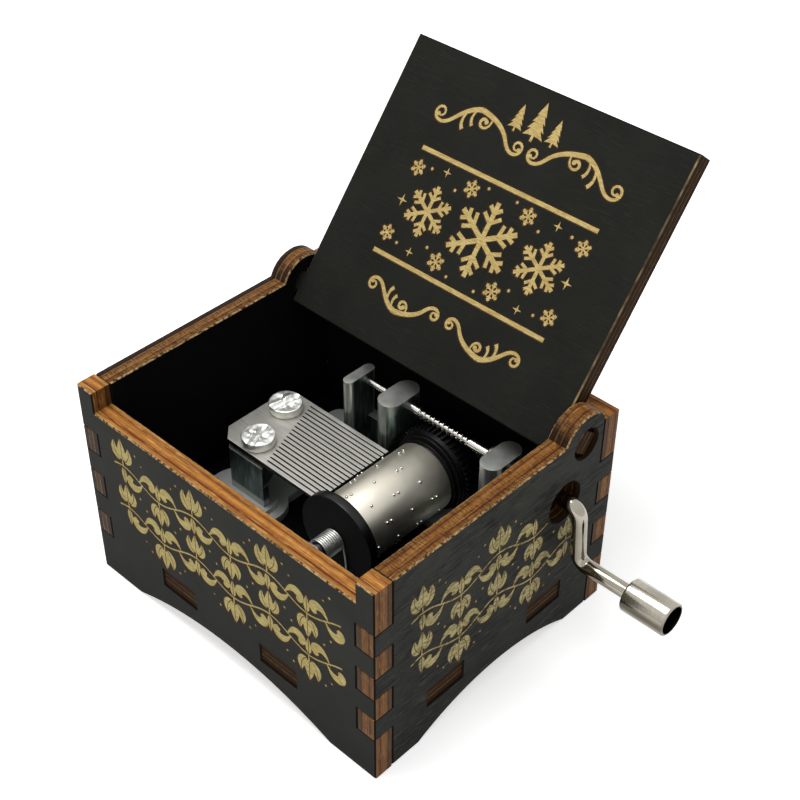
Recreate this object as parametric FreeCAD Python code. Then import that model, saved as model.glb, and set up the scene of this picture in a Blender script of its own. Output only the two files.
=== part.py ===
import FreeCAD, Part
import math
import os
from FreeCAD import Vector

# A hand-cranked music box: a finger-jointed plywood case, a lid on two wooden pivots,
# and a small comb-and-cylinder movement that a crank turns through a worm.
# Millimetres. The origin is the outer front-left corner of the case on the table:
# x runs to the crank side, y to the back, z up. The lid is modelled open.

# Case
ply = 3.66
gap_left_of_lug = 3.44
gap_right_of_base = 5.94
gap_before_movement = 2.34
gap_behind_movement = 2.34
lid_above_posts = 5.55
side_above_seat = 3.9
back_above_sides = 0.17
finger_start = 8.9
finger_pitch = 4.45
fingers_each_end = 3
front_foot = 9.6
front_arch_rise = 4.1
side_foot = 9.35
side_arch_rise = 4.05

# Floor board
floor_under = 7.0
tab_from_centre = 7.6
tab_width = 7.75
tab_recess = 0.25

# Lid and its pivots
hinge_from_back = 7.85
lid_rest_gap = 0.05
lid_side_gap = 0.34
lid_swing_gap = 0.05
pivot_clearance = 0.05
pivot_recess = 0.4
ear_radius = 5.3

# Cylinder
axle_radius = 0.8
axle_nose = 0.6
axle_tail = 0.5
barrel_before_comb = 0.2
barrel_behind_comb = 2.1
barrel_radius = 6.05
barrel_wall = 0.4
pin_radius = 0.2
pin_proud = 0.3
pin_seat = 0.2
pins_per_tooth = 3
pin_turn_each_tooth = 97.0
pin_turn_each_pin = 131.0
cap_radius = 7.6
cap_thickness = 1.6
plug_depth = 2.4
sleeve_radius = 1.45
washer_radius = 1.9
washer_thickness = 0.4
end_float = 0.05
running_clearance = 0.05
hub_steps = [(0.4, 5.9), (0.4, 6.4), (0.3, 5.9), (0.4, 6.9), (0.25, 6.2), (0.65, 7.0)]

# Worm and gear
gear_teeth = 46
gear_width = 3.4
gear_addendum = 0.28
gear_dedendum = 0.22
gear_above_base = 0.24
tooth_taper = 0.2
worm_pitch = 1.0
worm_turns = 11
worm_turns_before_gear = 4
worm_core_radius = 0.5
worm_wire_radius = 0.2
worm_tip_gap = 0.1
worm_root_gap = 0.13
worm_side_gap = 0.1
shaft_radius = 0.65
shaft_shoulder_radius = 0.8
shaft_in_post = 1.2
shaft_in_crank = 4.8

# Comb
comb_from_lug = 2.1
comb_width = 16.0
comb_above_axle = 3.0
comb_thickness = 0.9
comb_tip_thickness = 0.5
comb_pin_clearance = 0.07
comb_corner = 2.2
comb_teeth = 18
axle_from_comb_edge = 29.3
slot_width = 0.28
root_length_front = 11.2
root_length_back = 5.7
full_thickness_length = 12.3
spacer_thickness = 0.8
spacer_inset = 0.5
weight_count = 7
weight_from_tip = 1.3
weight_length = 2.8
weight_width = 0.5
weight_drop = 2.1

# Comb screws, by their distance from the comb's left and front edges
comb_screw_offsets = [(3.55, 11.85), (6.5, 2.95)]
comb_screw_head_radius = 2.9
comb_screw_head_height = 1.9
comb_screw_radius = 1.4
comb_screw_grip = 3.4
screw_slot_width = 0.9
screw_slot_depth = 0.7
thread_clearance = 0.05
screw_hole_clearance = 0.2

# Cast movement frame
base_thickness = 1.5
base_corner = 2.5
base_beyond_post = 1.1
base_behind_posts = 2.05
rear_strip_margin = 0.7
front_strip_left_of_axle = 20.5
front_strip_right_of_axle = 7.5
front_strip_depth = 11.5
left_strip_width = 10.8
left_strip_before_comb = 1.4
lug_length = 15.2
lug_depth = 14.6
lug_before_comb = 9.0
lug_corner = 4.9
boss_inset = 1.75
boss_height = 0.8
pedestal_inset = 1.0
pedestal_before_comb = 0.1
pedestal_behind_comb = 0.2
pedestal_edge_inset = 0.8
pedestal_corner = 1.5
pedestal_head = 4.1
pedestal_plate = 1.2
pedestal_foot_inset = 1.0
pedestal_foot_length = 3.8
pedestal_foot_set_back = 0.7
post_above_shaft = 1.7
post_1_width = 2.0
post_2_width = 4.25
post_3_width = 4.0
post_gap = 5.25
post_2_from_axle = 7.0
post_3_from_axle = 10.8
post_before_shaft = 4.5
post_1_behind_shaft = 2.1
post_behind_shaft = 3.55
gear_relief = 0.4
web_before_shaft = 0.3
web_thickness = 2.0
web_height = 8.84
bearing_wall_thickness = 1.2
bearing_wall_above_axle = 4.5

# Screws that hold the casting to the floor board
lug_screw_offset = (7.2, 5.6)
post_screw_before_shaft = 0.5
mount_screw_radius = 1.3
mount_screw_head_radius = 2.6
mount_screw_head_height = 1.5
mount_screw_below_boss = 0.2
mount_hole_spare = 0.8

# Bracket that carries the front end of the axle
bracket_thickness = 0.8
bracket_half_width = 2.6
bracket_foot_length = 6.0
bracket_foot_margin = 0.4
bracket_screw_from_plate = 3.3
bracket_screw_radius = 0.9
bracket_screw_grip = 1.2
bracket_screw_head_radius = 1.8
bracket_screw_head_height = 1.1

# Coil spring round the cap's sleeve
spring_wire = 0.35
spring_outer_radius = 2.0
spring_pitch = 0.76
spring_turns = 4.5
spring_from_bracket = 1.4
spring_from_cap = 0.38
spring_knee_drop = 0.5
spring_knee_radius = 5.0

# Bush in the post next to the crank
bush_radius = 1.2
bush_flange_radius = 1.7
bush_flange_thickness = 0.4

# Crank
crank_hole_before_shaft = 0.6
crank_hole_below_shaft = 0.2
crank_hole_radius = 4.1
rod_radius = 1.25
rod_from_post = 1.7
arm_from_wall = 2.6
bend_radius = 2.0
crank_radius = 11.9
crank_tilt = 5.3
knob_from_arm = 10.0
knob_length = 7.9
knob_radius = 2.85
knob_bore_radius = 2.35
knob_end_wall = 1.3
knob_edge = 0.35
rod_end_radius = 0.8
rod_end_spare = 0.5
rivet_radius = 1.7
rivet_thickness = 0.7

# Depths, from the front wall back along the cylinder
front_strip_front = ply + gap_before_movement
front_strip_back = front_strip_front + front_strip_depth
bracket_foot_front = front_strip_front + bracket_foot_margin
bracket_back = bracket_foot_front + bracket_foot_length
bracket_front = bracket_back - bracket_thickness
axle_front = bracket_front - axle_nose
front_washer = bracket_back + end_float
sleeve_front = front_washer + washer_thickness
coil_front = bracket_back + spring_from_bracket
coil_back = coil_front + spring_turns * spring_pitch
cap_front = coil_back + spring_from_cap
barrel_front = cap_front + cap_thickness
comb_front = barrel_front + barrel_before_comb
comb_back = comb_front + comb_width
barrel_back = comb_back + barrel_behind_comb
gear_front = barrel_back + sum(step[0] for step in hub_steps)
gear_back = gear_front + gear_width
bearing_wall_front = gear_back + washer_thickness + end_float
bearing_wall_back = bearing_wall_front + bearing_wall_thickness
shaft_y = gear_front + gear_width / 2
post_front = shaft_y - post_before_shaft
post_1_back = shaft_y + post_1_behind_shaft
post_back = shaft_y + post_behind_shaft
web_front = shaft_y - web_before_shaft
web_back = web_front + web_thickness
rear_strip_front = post_front - rear_strip_margin
base_rear = post_back + base_behind_posts
lug_front = comb_front - lug_before_comb
lug_back = lug_front + lug_depth
left_strip_front = comb_front - left_strip_before_comb
pedestal_front = comb_front - pedestal_before_comb
pedestal_rear = comb_back + pedestal_behind_comb
pedestal_foot_front = pedestal_front + pedestal_foot_set_back
back_inner = base_rear + gap_behind_movement
case_depth = back_inner + ply
side_arch_half = case_depth / 2 - side_foot
hinge_y = case_depth - hinge_from_back

# Lengths, from the left wall along the comb to the crank
lug_left = ply + gap_left_of_lug
lug_right = lug_left + lug_length
comb_left = lug_left + comb_from_lug
base_left = comb_left
left_strip_right = base_left + left_strip_width
pedestal_left = comb_left + pedestal_inset
pedestal_foot_left = pedestal_left + pedestal_foot_inset
pedestal_foot_right = pedestal_foot_left + pedestal_foot_length
slot_start_front = comb_left + root_length_front
slot_start_back = comb_left + root_length_back
thinning_start = comb_left + full_thickness_length
axle_x = comb_left + axle_from_comb_edge
front_strip_left = axle_x - front_strip_left_of_axle
front_strip_right = axle_x + front_strip_right_of_axle
post_2_right = axle_x - post_2_from_axle
post_2_left = post_2_right - post_2_width
post_1_right = post_2_left - post_gap
post_1_left = post_1_right - post_1_width
post_3_left = axle_x + post_3_from_axle
post_3_right = post_3_left + post_3_width
post_1_middle = (post_1_left + post_1_right) / 2
post_2_middle = (post_2_left + post_2_right) / 2
post_3_middle = (post_3_left + post_3_right) / 2
base_right = post_3_right + base_beyond_post
case_length = base_right + gap_right_of_base + ply
front_arch_half = case_length / 2 - front_foot
worm_start = axle_x - worm_pitch * (worm_turns_before_gear + 0.75)
worm_end = worm_start + worm_pitch * worm_turns
shaft_start = post_1_right - shaft_in_post
rod_start = post_3_right + rod_from_post
shaft_end = rod_start + shaft_in_crank
arm_x = case_length + arm_from_wall
knob_start = arm_x + knob_from_arm
knob_end = knob_start + knob_length

# Heights, from the floor board up
floor_top = floor_under + ply
base_top = floor_top + base_thickness
boss_top = base_top + boss_height
gear_pitch_radius = gear_teeth * worm_pitch / (2 * math.pi)
gear_tip_radius = gear_pitch_radius + gear_addendum
gear_root_radius = gear_pitch_radius - gear_dedendum
tooth_root_width = worm_pitch - 2 * worm_wire_radius - worm_side_gap
tooth_tip_width = tooth_root_width - tooth_taper
axle_z = base_top + gear_above_base + gear_tip_radius
shaft_z = axle_z + gear_tip_radius + worm_tip_gap + worm_core_radius
worm_crest_radius = shaft_z - axle_z - gear_root_radius - worm_root_gap
worm_helix_radius = worm_crest_radius - worm_wire_radius
comb_top = axle_z + comb_above_axle
comb_under = comb_top - comb_thickness
comb_tip_under = comb_top - comb_tip_thickness
weight_bottom = comb_under - weight_drop
pedestal_top = comb_under - spacer_thickness
pedestal_ledge = pedestal_top - pedestal_head
post_top = shaft_z + post_above_shaft
web_top = base_top + web_height
bearing_wall_top = axle_z + bearing_wall_above_axle
mount_screw_end = boss_top - mount_screw_below_boss
lid_seat = post_top + lid_above_posts
side_top = lid_seat + side_above_seat
back_top = side_top + back_above_sides

# The comb's tips, which just clear the circle of the pins
pin_tip_radius = barrel_radius + pin_proud
comb_tip = axle_x - math.sqrt((pin_tip_radius + comb_pin_clearance) ** 2 - (comb_tip_under - axle_z) ** 2)

# The lid's pivots, and how far it leans back when it stands open on the back wall
hinge_z = lid_seat + lid_rest_gap + ply / 2
hinge_hole_radius = ply / math.sqrt(2) + pivot_clearance
lid_tail = math.sqrt((back_inner - hinge_y - lid_swing_gap) ** 2 - (ply / 2) ** 2)
stop_y = back_inner - hinge_y
stop_z = back_top - hinge_z
stop_reach = math.hypot(stop_y, stop_z)
lid_elevation = math.degrees(
    math.atan2(stop_z, stop_y) + math.asin((ply / 2 + lid_rest_gap) / stop_reach)
)

# The crank's hole and the knob's axis
crank_hole_y = shaft_y - crank_hole_before_shaft
crank_hole_z = shaft_z - crank_hole_below_shaft
knob_y = shaft_y + crank_radius * math.sin(math.radians(crank_tilt))
knob_z = shaft_z - crank_radius * math.cos(math.radians(crank_tilt))

# Screw places
comb_screw_places = [(comb_left + x, comb_front + y) for x, y in comb_screw_offsets]
mount_screw_places = [
    (lug_left + lug_screw_offset[0], lug_front + lug_screw_offset[1]),
    (post_2_middle, shaft_y - post_screw_before_shaft),
    (post_3_middle, shaft_y - post_screw_before_shaft),
]


def block(x0, x1, y0, y1, z0, z1):
    return Part.makeBox(x1 - x0, y1 - y0, z1 - z0, Vector(x0, y0, z0))


def rod_x(y, z, radius, x0, x1):
    return Part.makeCylinder(radius, x1 - x0, Vector(x0, y, z), Vector(1, 0, 0))


def rod_y(x, z, radius, y0, y1):
    return Part.makeCylinder(radius, y1 - y0, Vector(x, y0, z), Vector(0, 1, 0))


def rod_z(x, y, radius, z0, z1):
    return Part.makeCylinder(radius, z1 - z0, Vector(x, y, z0), Vector(0, 0, 1))


def prism(points, along):
    """A straight solid over a closed outline."""
    return Part.Face(Part.makePolygon(points + points[:1])).extrude(along)


def rounded_block(x0, x1, y0, y1, z0, z1, radius):
    """A block whose four upright edges are rounded."""
    solid = block(x0, x1, y0, y1, z0, z1)
    upright = [e for e in solid.Edges if e.BoundBox.ZLength > (z1 - z0) / 2]
    return solid.makeFillet(radius, upright)


def joined(shapes):
    whole = shapes[0].fuse(shapes[1:])
    return whole.removeSplitter()


def finger_gaps():
    """The heights, from and to, at which the side walls own the corner."""
    step = 2 * finger_pitch
    lows = [finger_start + i * step for i in range(fingers_each_end)]
    return [(low, low + finger_pitch) for low in lows]


def arch_circle(half, rise):
    """Radius of the foot arch and the height of its centre."""
    radius = (half ** 2 + rise ** 2) / (2 * rise)
    return radius, rise - radius


def tab_spans(length):
    """The two stretches of a wall that the floor board's tabs pass through."""
    middle = length / 2
    outer = tab_from_centre + tab_width
    return [(middle - outer, middle - tab_from_centre), (middle + tab_from_centre, middle + outer)]


def long_wall(y0, top):
    """Front or back wall: full length, notched at both ends for the side walls' fingers."""
    y1 = y0 + ply
    wall = block(0, case_length, y0, y1, 0, top)
    cuts = []
    for low, high in finger_gaps():
        cuts.append(block(0, ply, y0, y1, low, high))
        cuts.append(block(case_length - ply, case_length, y0, y1, low, high))
    for x0, x1 in tab_spans(case_length):
        cuts.append(block(x0, x1, y0, y1, floor_under, floor_top))
    radius, centre = arch_circle(front_arch_half, front_arch_rise)
    cuts.append(rod_y(case_length / 2, centre, radius, y0, y1))
    return wall.cut(cuts)


def front_wall():
    notch = block(ply, case_length - ply, 0, ply, lid_seat, side_top)
    return long_wall(0, side_top).cut(notch)


def back_wall():
    return long_wall(back_inner, back_top)


def side_wall(x0):
    """Left or right wall: between the long walls, with fingers that reach through them."""
    x1 = x0 + ply
    pieces = [block(x0, x1, ply, back_inner, 0, side_top)]
    for low, high in finger_gaps():
        pieces.append(block(x0, x1, 0, case_depth, low, high))
    ear = rod_x(hinge_y, hinge_z, ear_radius, x0, x1)
    pieces.append(ear.common(block(x0, x1, ply, back_inner, floor_top, hinge_z + 2 * ear_radius)))
    cuts = [rod_x(hinge_y, hinge_z, hinge_hole_radius, x0, x1)]
    for y0, y1 in tab_spans(case_depth):
        cuts.append(block(x0, x1, y0, y1, floor_under, floor_top))
    radius, centre = arch_circle(side_arch_half, side_arch_rise)
    cuts.append(rod_x(case_depth / 2, centre, radius, x0, x1))
    return joined(pieces).cut(cuts)


def right_wall():
    x0 = case_length - ply
    hole = rod_x(crank_hole_y, crank_hole_z, crank_hole_radius, x0, case_length)
    return side_wall(x0).cut(hole)


def floor_board():
    pieces = [block(ply, case_length - ply, ply, back_inner, floor_under, floor_top)]
    for x0, x1 in tab_spans(case_length):
        pieces.append(block(x0, x1, tab_recess, case_depth - tab_recess, floor_under, floor_top))
    for y0, y1 in tab_spans(case_depth):
        pieces.append(block(tab_recess, case_length - tab_recess, y0, y1, floor_under, floor_top))
    hole_radius = mount_screw_radius + screw_hole_clearance
    holes = [rod_z(x, y, hole_radius, floor_under, floor_top) for x, y in mount_screw_places]
    return joined(pieces).cut(holes)


def lid():
    """Built shut, then swung open about the pivots until it leans on the back wall."""
    z0 = hinge_z - ply / 2
    z1 = hinge_z + ply / 2
    left = ply + lid_side_gap
    board = block(left, case_length - left, 0, hinge_y + lid_tail, z0, z1)
    pivots = block(
        pivot_recess, case_length - pivot_recess, hinge_y - ply / 2, hinge_y + ply / 2, z0, z1
    )
    whole = joined([board, pivots])
    whole.rotate(Vector(0, hinge_y, hinge_z), Vector(1, 0, 0), lid_elevation - 180)
    return whole


def post(x0, x1, y0, y1):
    """An upright with round ends, seen from above."""
    radius = (x1 - x0) / 2
    middle = (x0 + x1) / 2
    return joined([
        block(x0, x1, y0 + radius, y1 - radius, base_top, post_top),
        rod_z(middle, y0 + radius, radius, base_top, post_top),
        rod_z(middle, y1 - radius, radius, base_top, post_top),
    ])


def slot_start(y):
    """Where a comb slot begins; the long teeth are at the back."""
    share = (y - comb_front) / comb_width
    return slot_start_front + (slot_start_back - slot_start_front) * share


def pedestal():
    """The block under the comb: a wide top along the slots, a front plate and a narrower foot."""
    right_front = slot_start(pedestal_front) - pedestal_edge_inset
    right_rear = slot_start(pedestal_rear) - pedestal_edge_inset
    outline = [
        Vector(pedestal_left + pedestal_corner, pedestal_front, pedestal_ledge),
        Vector(right_front, pedestal_front, pedestal_ledge),
        Vector(right_rear, pedestal_rear, pedestal_ledge),
        Vector(pedestal_left, pedestal_rear, pedestal_ledge),
        Vector(pedestal_left, pedestal_front + pedestal_corner, pedestal_ledge),
    ]
    top = prism(outline, Vector(0, 0, pedestal_top - pedestal_ledge))
    foot = block(
        pedestal_foot_left, pedestal_foot_right, pedestal_foot_front, pedestal_rear,
        base_top, pedestal_ledge,
    )
    plate = block(
        pedestal_left + pedestal_corner, right_front, pedestal_front, pedestal_front + pedestal_plate,
        base_top, pedestal_ledge,
    )
    return [top, foot, plate]


def movement_frame():
    base = [
        rounded_block(lug_left, lug_right, lug_front, lug_back, floor_top, base_top, lug_corner),
        rounded_block(
            base_left, left_strip_right, left_strip_front, base_rear, floor_top, base_top, base_corner
        ),
        rounded_block(base_left, base_right, rear_strip_front, base_rear, floor_top, base_top, base_corner),
        rounded_block(
            front_strip_left, front_strip_right, front_strip_front, front_strip_back,
            floor_top, base_top, base_corner,
        ),
    ]
    boss = rounded_block(
        lug_left + boss_inset, lug_right - boss_inset, lug_front + boss_inset, lug_back - boss_inset,
        base_top, boss_top, lug_corner - boss_inset,
    )
    post_1 = post(post_1_left, post_1_right, post_front, post_1_back)
    post_3 = post(post_3_left, post_3_right, post_front, post_back)
    relief = rod_y(axle_x, axle_z, gear_tip_radius + gear_relief, post_front, bearing_wall_front)
    post_2 = post(post_2_left, post_2_right, post_front, post_back).cut(relief)
    web = block(post_1_middle, post_2_middle, web_front, web_back, base_top, web_top)
    bearing_wall = block(
        post_2_middle, post_3_middle, bearing_wall_front, bearing_wall_back, base_top, bearing_wall_top
    )
    whole = joined(base + [boss] + pedestal() + [post_1, post_2, post_3, web, bearing_wall])
    shaft_hole = shaft_radius + running_clearance
    cuts = [
        rod_x(shaft_y, shaft_z, shaft_hole, shaft_start - end_float, post_2_right),
        rod_x(shaft_y, shaft_z, bush_radius, post_3_left, post_3_right),
        rod_y(axle_x, axle_z, axle_radius + running_clearance, bearing_wall_front, bearing_wall_back),
        rod_z(
            axle_x, bracket_front - bracket_screw_from_plate, bracket_screw_radius + thread_clearance,
            base_top - bracket_screw_grip, base_top,
        ),
    ]
    for x, y in comb_screw_places:
        depth = comb_screw_grip + mount_screw_below_boss
        cuts.append(rod_z(x, y, comb_screw_radius + thread_clearance, pedestal_top - depth, pedestal_top))
    for x, y in mount_screw_places:
        radius = mount_screw_radius + thread_clearance
        cuts.append(rod_z(x, y, radius, floor_top, mount_screw_end + mount_hole_spare))
    return whole.cut(cuts)


def comb_outline(z, inset):
    """Outline of the comb's root, drawn in by a margin, as far as the slots."""
    left = comb_left + inset
    front = comb_front + inset
    back = comb_back - inset
    return [
        Vector(left + comb_corner, front, z),
        Vector(slot_start(front) - inset, front, z),
        Vector(slot_start(back) - inset, back, z),
        Vector(left + comb_corner, back, z),
        Vector(left, back - comb_corner, z),
        Vector(left, front + comb_corner, z),
    ]


def comb_underside(x):
    """Height of the teeth's underside, which rises towards the tips."""
    share = max(0.0, (x - thinning_start) / (comb_tip - thinning_start))
    return comb_under + (comb_tip_under - comb_under) * share


def comb():
    plate = prism(
        [
            Vector(comb_left + comb_corner, comb_front, comb_under),
            Vector(comb_tip, comb_front, comb_under),
            Vector(comb_tip, comb_back, comb_under),
            Vector(comb_left + comb_corner, comb_back, comb_under),
            Vector(comb_left, comb_back - comb_corner, comb_under),
            Vector(comb_left, comb_front + comb_corner, comb_under),
        ],
        Vector(0, 0, comb_thickness),
    )
    wedge = prism(
        [
            Vector(thinning_start, comb_front, comb_under),
            Vector(comb_tip, comb_front, comb_tip_under),
            Vector(comb_tip, comb_front, comb_under),
        ],
        Vector(0, comb_width, 0),
    )
    cuts = [wedge]
    pitch = comb_width / comb_teeth
    for i in range(1, comb_teeth):
        y = comb_front + i * pitch
        cuts.append(
            block(slot_start(y), comb_tip, y - slot_width / 2, y + slot_width / 2, comb_under, comb_top)
        )
    for x, y in comb_screw_places:
        cuts.append(rod_z(x, y, comb_screw_radius + screw_hole_clearance, comb_under, comb_top))
    return plate.cut(cuts)


def comb_spacer():
    strip = prism(comb_outline(pedestal_top, spacer_inset), Vector(0, 0, spacer_thickness))
    radius = comb_screw_radius + screw_hole_clearance
    return strip.cut([rod_z(x, y, radius, pedestal_top, comb_under) for x, y in comb_screw_places])


def tuning_weights():
    """Blocks under the tips of the long teeth, which lower their notes."""
    pitch = comb_width / comb_teeth
    x1 = comb_tip - weight_from_tip
    x0 = x1 - weight_length
    blocks = []
    for i in range(weight_count):
        y = comb_back - (i + 0.5) * pitch - weight_width / 2
        outline = [
            Vector(x0, y, weight_bottom),
            Vector(x1, y, weight_bottom),
            Vector(x1, y, comb_underside(x1)),
            Vector(x0, y, comb_underside(x0)),
        ]
        blocks.append(prism(outline, Vector(0, weight_width, 0)))
    return Part.makeCompound(blocks)


def slotted_screw(x, y, seat, shank_radius, shank_end, head_radius, head_height):
    """A cheese-head screw, its head on the seat; it points down when the shank ends lower."""
    up = 1 if shank_end < seat else -1
    head_end = seat + up * head_height
    head = rod_z(x, y, head_radius, min(seat, head_end), max(seat, head_end))
    shank = rod_z(x, y, shank_radius, min(seat, shank_end), max(seat, shank_end))
    slot_end = head_end - up * screw_slot_depth
    slot = block(
        x - head_radius, x + head_radius, y - screw_slot_width / 2, y + screw_slot_width / 2,
        min(slot_end, head_end), max(slot_end, head_end),
    )
    return joined([head, shank]).cut(slot)


def comb_screws():
    shank_end = pedestal_top - comb_screw_grip
    return Part.makeCompound([
        slotted_screw(
            x, y, comb_top, comb_screw_radius, shank_end, comb_screw_head_radius, comb_screw_head_height
        )
        for x, y in comb_screw_places
    ])


def mounting_screws():
    return Part.makeCompound([
        slotted_screw(
            x, y, floor_under, mount_screw_radius, mount_screw_end,
            mount_screw_head_radius, mount_screw_head_height,
        )
        for x, y in mount_screw_places
    ])


def cylinder_axle():
    return rod_y(axle_x, axle_z, axle_radius, axle_front, bearing_wall_back + axle_tail)


def washer(y):
    ring = rod_y(axle_x, axle_z, washer_radius, y, y + washer_thickness)
    return ring.cut(rod_y(axle_x, axle_z, axle_radius, y, y + washer_thickness))


def axle_washers():
    return Part.makeCompound([washer(front_washer), washer(gear_back)])


def cylinder_barrel():
    tube = rod_y(axle_x, axle_z, barrel_radius, barrel_front, barrel_back)
    return tube.cut(rod_y(axle_x, axle_z, barrel_radius - barrel_wall, barrel_front, barrel_back))


def cylinder_pins():
    """Every tooth has its own ring of pins, at angles that follow a plain rule."""
    pitch = comb_width / comb_teeth
    foot = barrel_radius - pin_seat
    pins = []
    for i in range(comb_teeth):
        y = comb_front + (i + 0.5) * pitch
        for k in range(pins_per_tooth):
            angle = math.radians(i * pin_turn_each_tooth + k * pin_turn_each_pin)
            out = Vector(math.cos(angle), 0, math.sin(angle))
            start = Vector(axle_x, y, axle_z) + out * foot
            pins.append(Part.makeCylinder(pin_radius, pin_proud + pin_seat, start, out))
    return Part.makeCompound(pins)


def cylinder_front_cap():
    """End disc, the plug that centres the barrel, and the sleeve inside the spring."""
    plug_radius = barrel_radius - barrel_wall
    pieces = [
        rod_y(axle_x, axle_z, cap_radius, cap_front, barrel_front),
        rod_y(axle_x, axle_z, plug_radius, barrel_front, barrel_front + plug_depth),
        rod_y(axle_x, axle_z, sleeve_radius, sleeve_front, cap_front),
    ]
    bore = rod_y(axle_x, axle_z, axle_radius, sleeve_front, barrel_front + plug_depth)
    return joined(pieces).cut(bore)


def gear_tooth_outline(y):
    """Closed outline of the gear, with a gap at the top where the worm runs."""
    points = []
    for i in range(gear_teeth):
        middle = math.radians(90) + 2 * math.pi * (i + 0.5) / gear_teeth
        half_root = tooth_root_width / 2 / gear_root_radius
        half_tip = tooth_tip_width / 2 / gear_tip_radius
        for radius, angle in [
            (gear_root_radius, middle - half_root),
            (gear_tip_radius, middle - half_tip),
            (gear_tip_radius, middle + half_tip),
            (gear_root_radius, middle + half_root),
        ]:
            points.append(Vector(axle_x + radius * math.cos(angle), y, axle_z + radius * math.sin(angle)))
    return points


def drive_gear():
    """Stepped hub, gear, and the plug that centres the barrel's other end."""
    plug_radius = barrel_radius - barrel_wall
    pieces = [rod_y(axle_x, axle_z, plug_radius, barrel_back - plug_depth, barrel_back)]
    y = barrel_back
    for length, radius in hub_steps:
        pieces.append(rod_y(axle_x, axle_z, radius, y, y + length))
        y += length
    pieces.append(prism(gear_tooth_outline(gear_front), Vector(0, gear_width, 0)))
    bore = rod_y(axle_x, axle_z, axle_radius, barrel_back - plug_depth, gear_back)
    return joined(pieces).cut(bore)


def axle_bracket():
    """Bent plate: a round-topped upright with the axle hole, and a foot towards the front."""
    x0 = axle_x - bracket_half_width
    x1 = axle_x + bracket_half_width
    pieces = [
        block(x0, x1, bracket_front, bracket_back, base_top, axle_z),
        rod_y(axle_x, axle_z, bracket_half_width, bracket_front, bracket_back),
        block(x0, x1, bracket_foot_front, bracket_back, base_top, base_top + bracket_thickness),
    ]
    screw_y = bracket_front - bracket_screw_from_plate
    cuts = [
        rod_y(axle_x, axle_z, axle_radius + running_clearance, bracket_front, bracket_back),
        rod_z(
            axle_x, screw_y, bracket_screw_radius + thread_clearance, base_top, base_top + bracket_thickness
        ),
    ]
    return joined(pieces).cut(cuts)


def bracket_screw():
    return slotted_screw(
        axle_x, bracket_front - bracket_screw_from_plate, base_top + bracket_thickness,
        bracket_screw_radius, base_top - bracket_screw_grip + thread_clearance,
        bracket_screw_head_radius, bracket_screw_head_height,
    )


def arc_middle(start, tangent, end):
    """Middle of the arc that leaves start along tangent and reaches end, and its end heading."""
    chord = end - start
    straight = Vector(chord).normalize()
    end_tangent = straight * (2 * tangent.dot(straight)) - tangent
    turn = tangent.getAngle(end_tangent)
    bulge = Vector(tangent - end_tangent).normalize()
    middle = (start + end) * 0.5 + bulge * (chord.Length / 2 * math.tan(turn / 4))
    return middle, end_tangent


def biarc(start, tangent, end, end_tangent):
    """Two arcs that join smoothly and carry the path from one place and heading to the next."""
    span = end - start
    both = tangent + end_tangent
    spread = 2 * (1 - tangent.dot(end_tangent))
    reach = (-span.dot(both) + math.sqrt(span.dot(both) ** 2 + spread * span.dot(span))) / spread
    joint = (start + end + (tangent - end_tangent) * reach) * 0.5
    first_middle, joint_tangent = arc_middle(start, tangent, joint)
    second_middle, _ = arc_middle(joint, joint_tangent, end)
    first = Part.Arc(start, first_middle, joint).toShape()
    second = Part.Arc(joint, second_middle, end).toShape()
    return [first, second]


def winding(centre, across, up, along, radius, pitch, turns, start_angle):
    """Places and headings of a helix at every quarter turn, in the frame across, up, along."""
    steps = round(turns * 4)
    stops = []
    for i in range(steps + 1):
        angle = math.radians(start_angle) + i * math.pi / 2
        place = centre + across * (radius * math.cos(angle)) + up * (radius * math.sin(angle))
        place = place + along * (pitch * i / 4)
        heading = across * (-radius * math.sin(angle)) + up * (radius * math.cos(angle))
        heading = heading + along * (pitch / (2 * math.pi))
        heading.normalize()
        stops.append((place, heading))
    return stops


def winding_edges(stops):
    edges = []
    for (place, heading), (next_place, next_heading) in zip(stops[:-1], stops[1:]):
        edges += biarc(place, heading, next_place, next_heading)
    return edges


def tube(edges, start, heading, radius):
    """A round tube along a smooth path."""
    ring = Part.Wire([Part.makeCircle(radius, start, heading)])
    return Part.Wire(edges).makePipeShell([ring], True, False)


def least_self_gap(edges, diameter, apart):
    """Least distance between stretches of one path more than a given length apart, less the wire."""
    points = []
    for edge in edges:
        count = max(2, int(edge.Length / 0.12))
        points += edge.discretize(Number=count)[:-1]
    travelled = [0.0]
    for previous, point in zip(points[:-1], points[1:]):
        travelled.append(travelled[-1] + previous.distanceToPoint(point))
    least = 1e9
    for i in range(0, len(points), 2):
        for j in range(i + 1, len(points)):
            if travelled[j] - travelled[i] > apart:
                least = min(least, points[i].distanceToPoint(points[j]))
    return least - diameter


def leg_places(knee, top):
    """A spring leg from the casting up: foot, the bend's start, middle and end, and the coil."""
    upward = Vector(0, 0, 1)
    slant = Vector(top - knee).normalize()
    setback = spring_knee_radius * math.tan(upward.getAngle(slant) / 2)
    bend_start = knee - upward * setback
    bend_end = knee + slant * setback
    middle, _ = arc_middle(bend_start, upward, bend_end)
    return [Vector(knee.x, knee.y, base_top), bend_start, middle, bend_end, top]


def leg_edges(places):
    first, bend_start, middle, bend_end, last = places
    return [
        Part.makeLine(first, bend_start),
        Part.Arc(bend_start, middle, bend_end).toShape(),
        Part.makeLine(bend_end, last),
    ]


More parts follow.
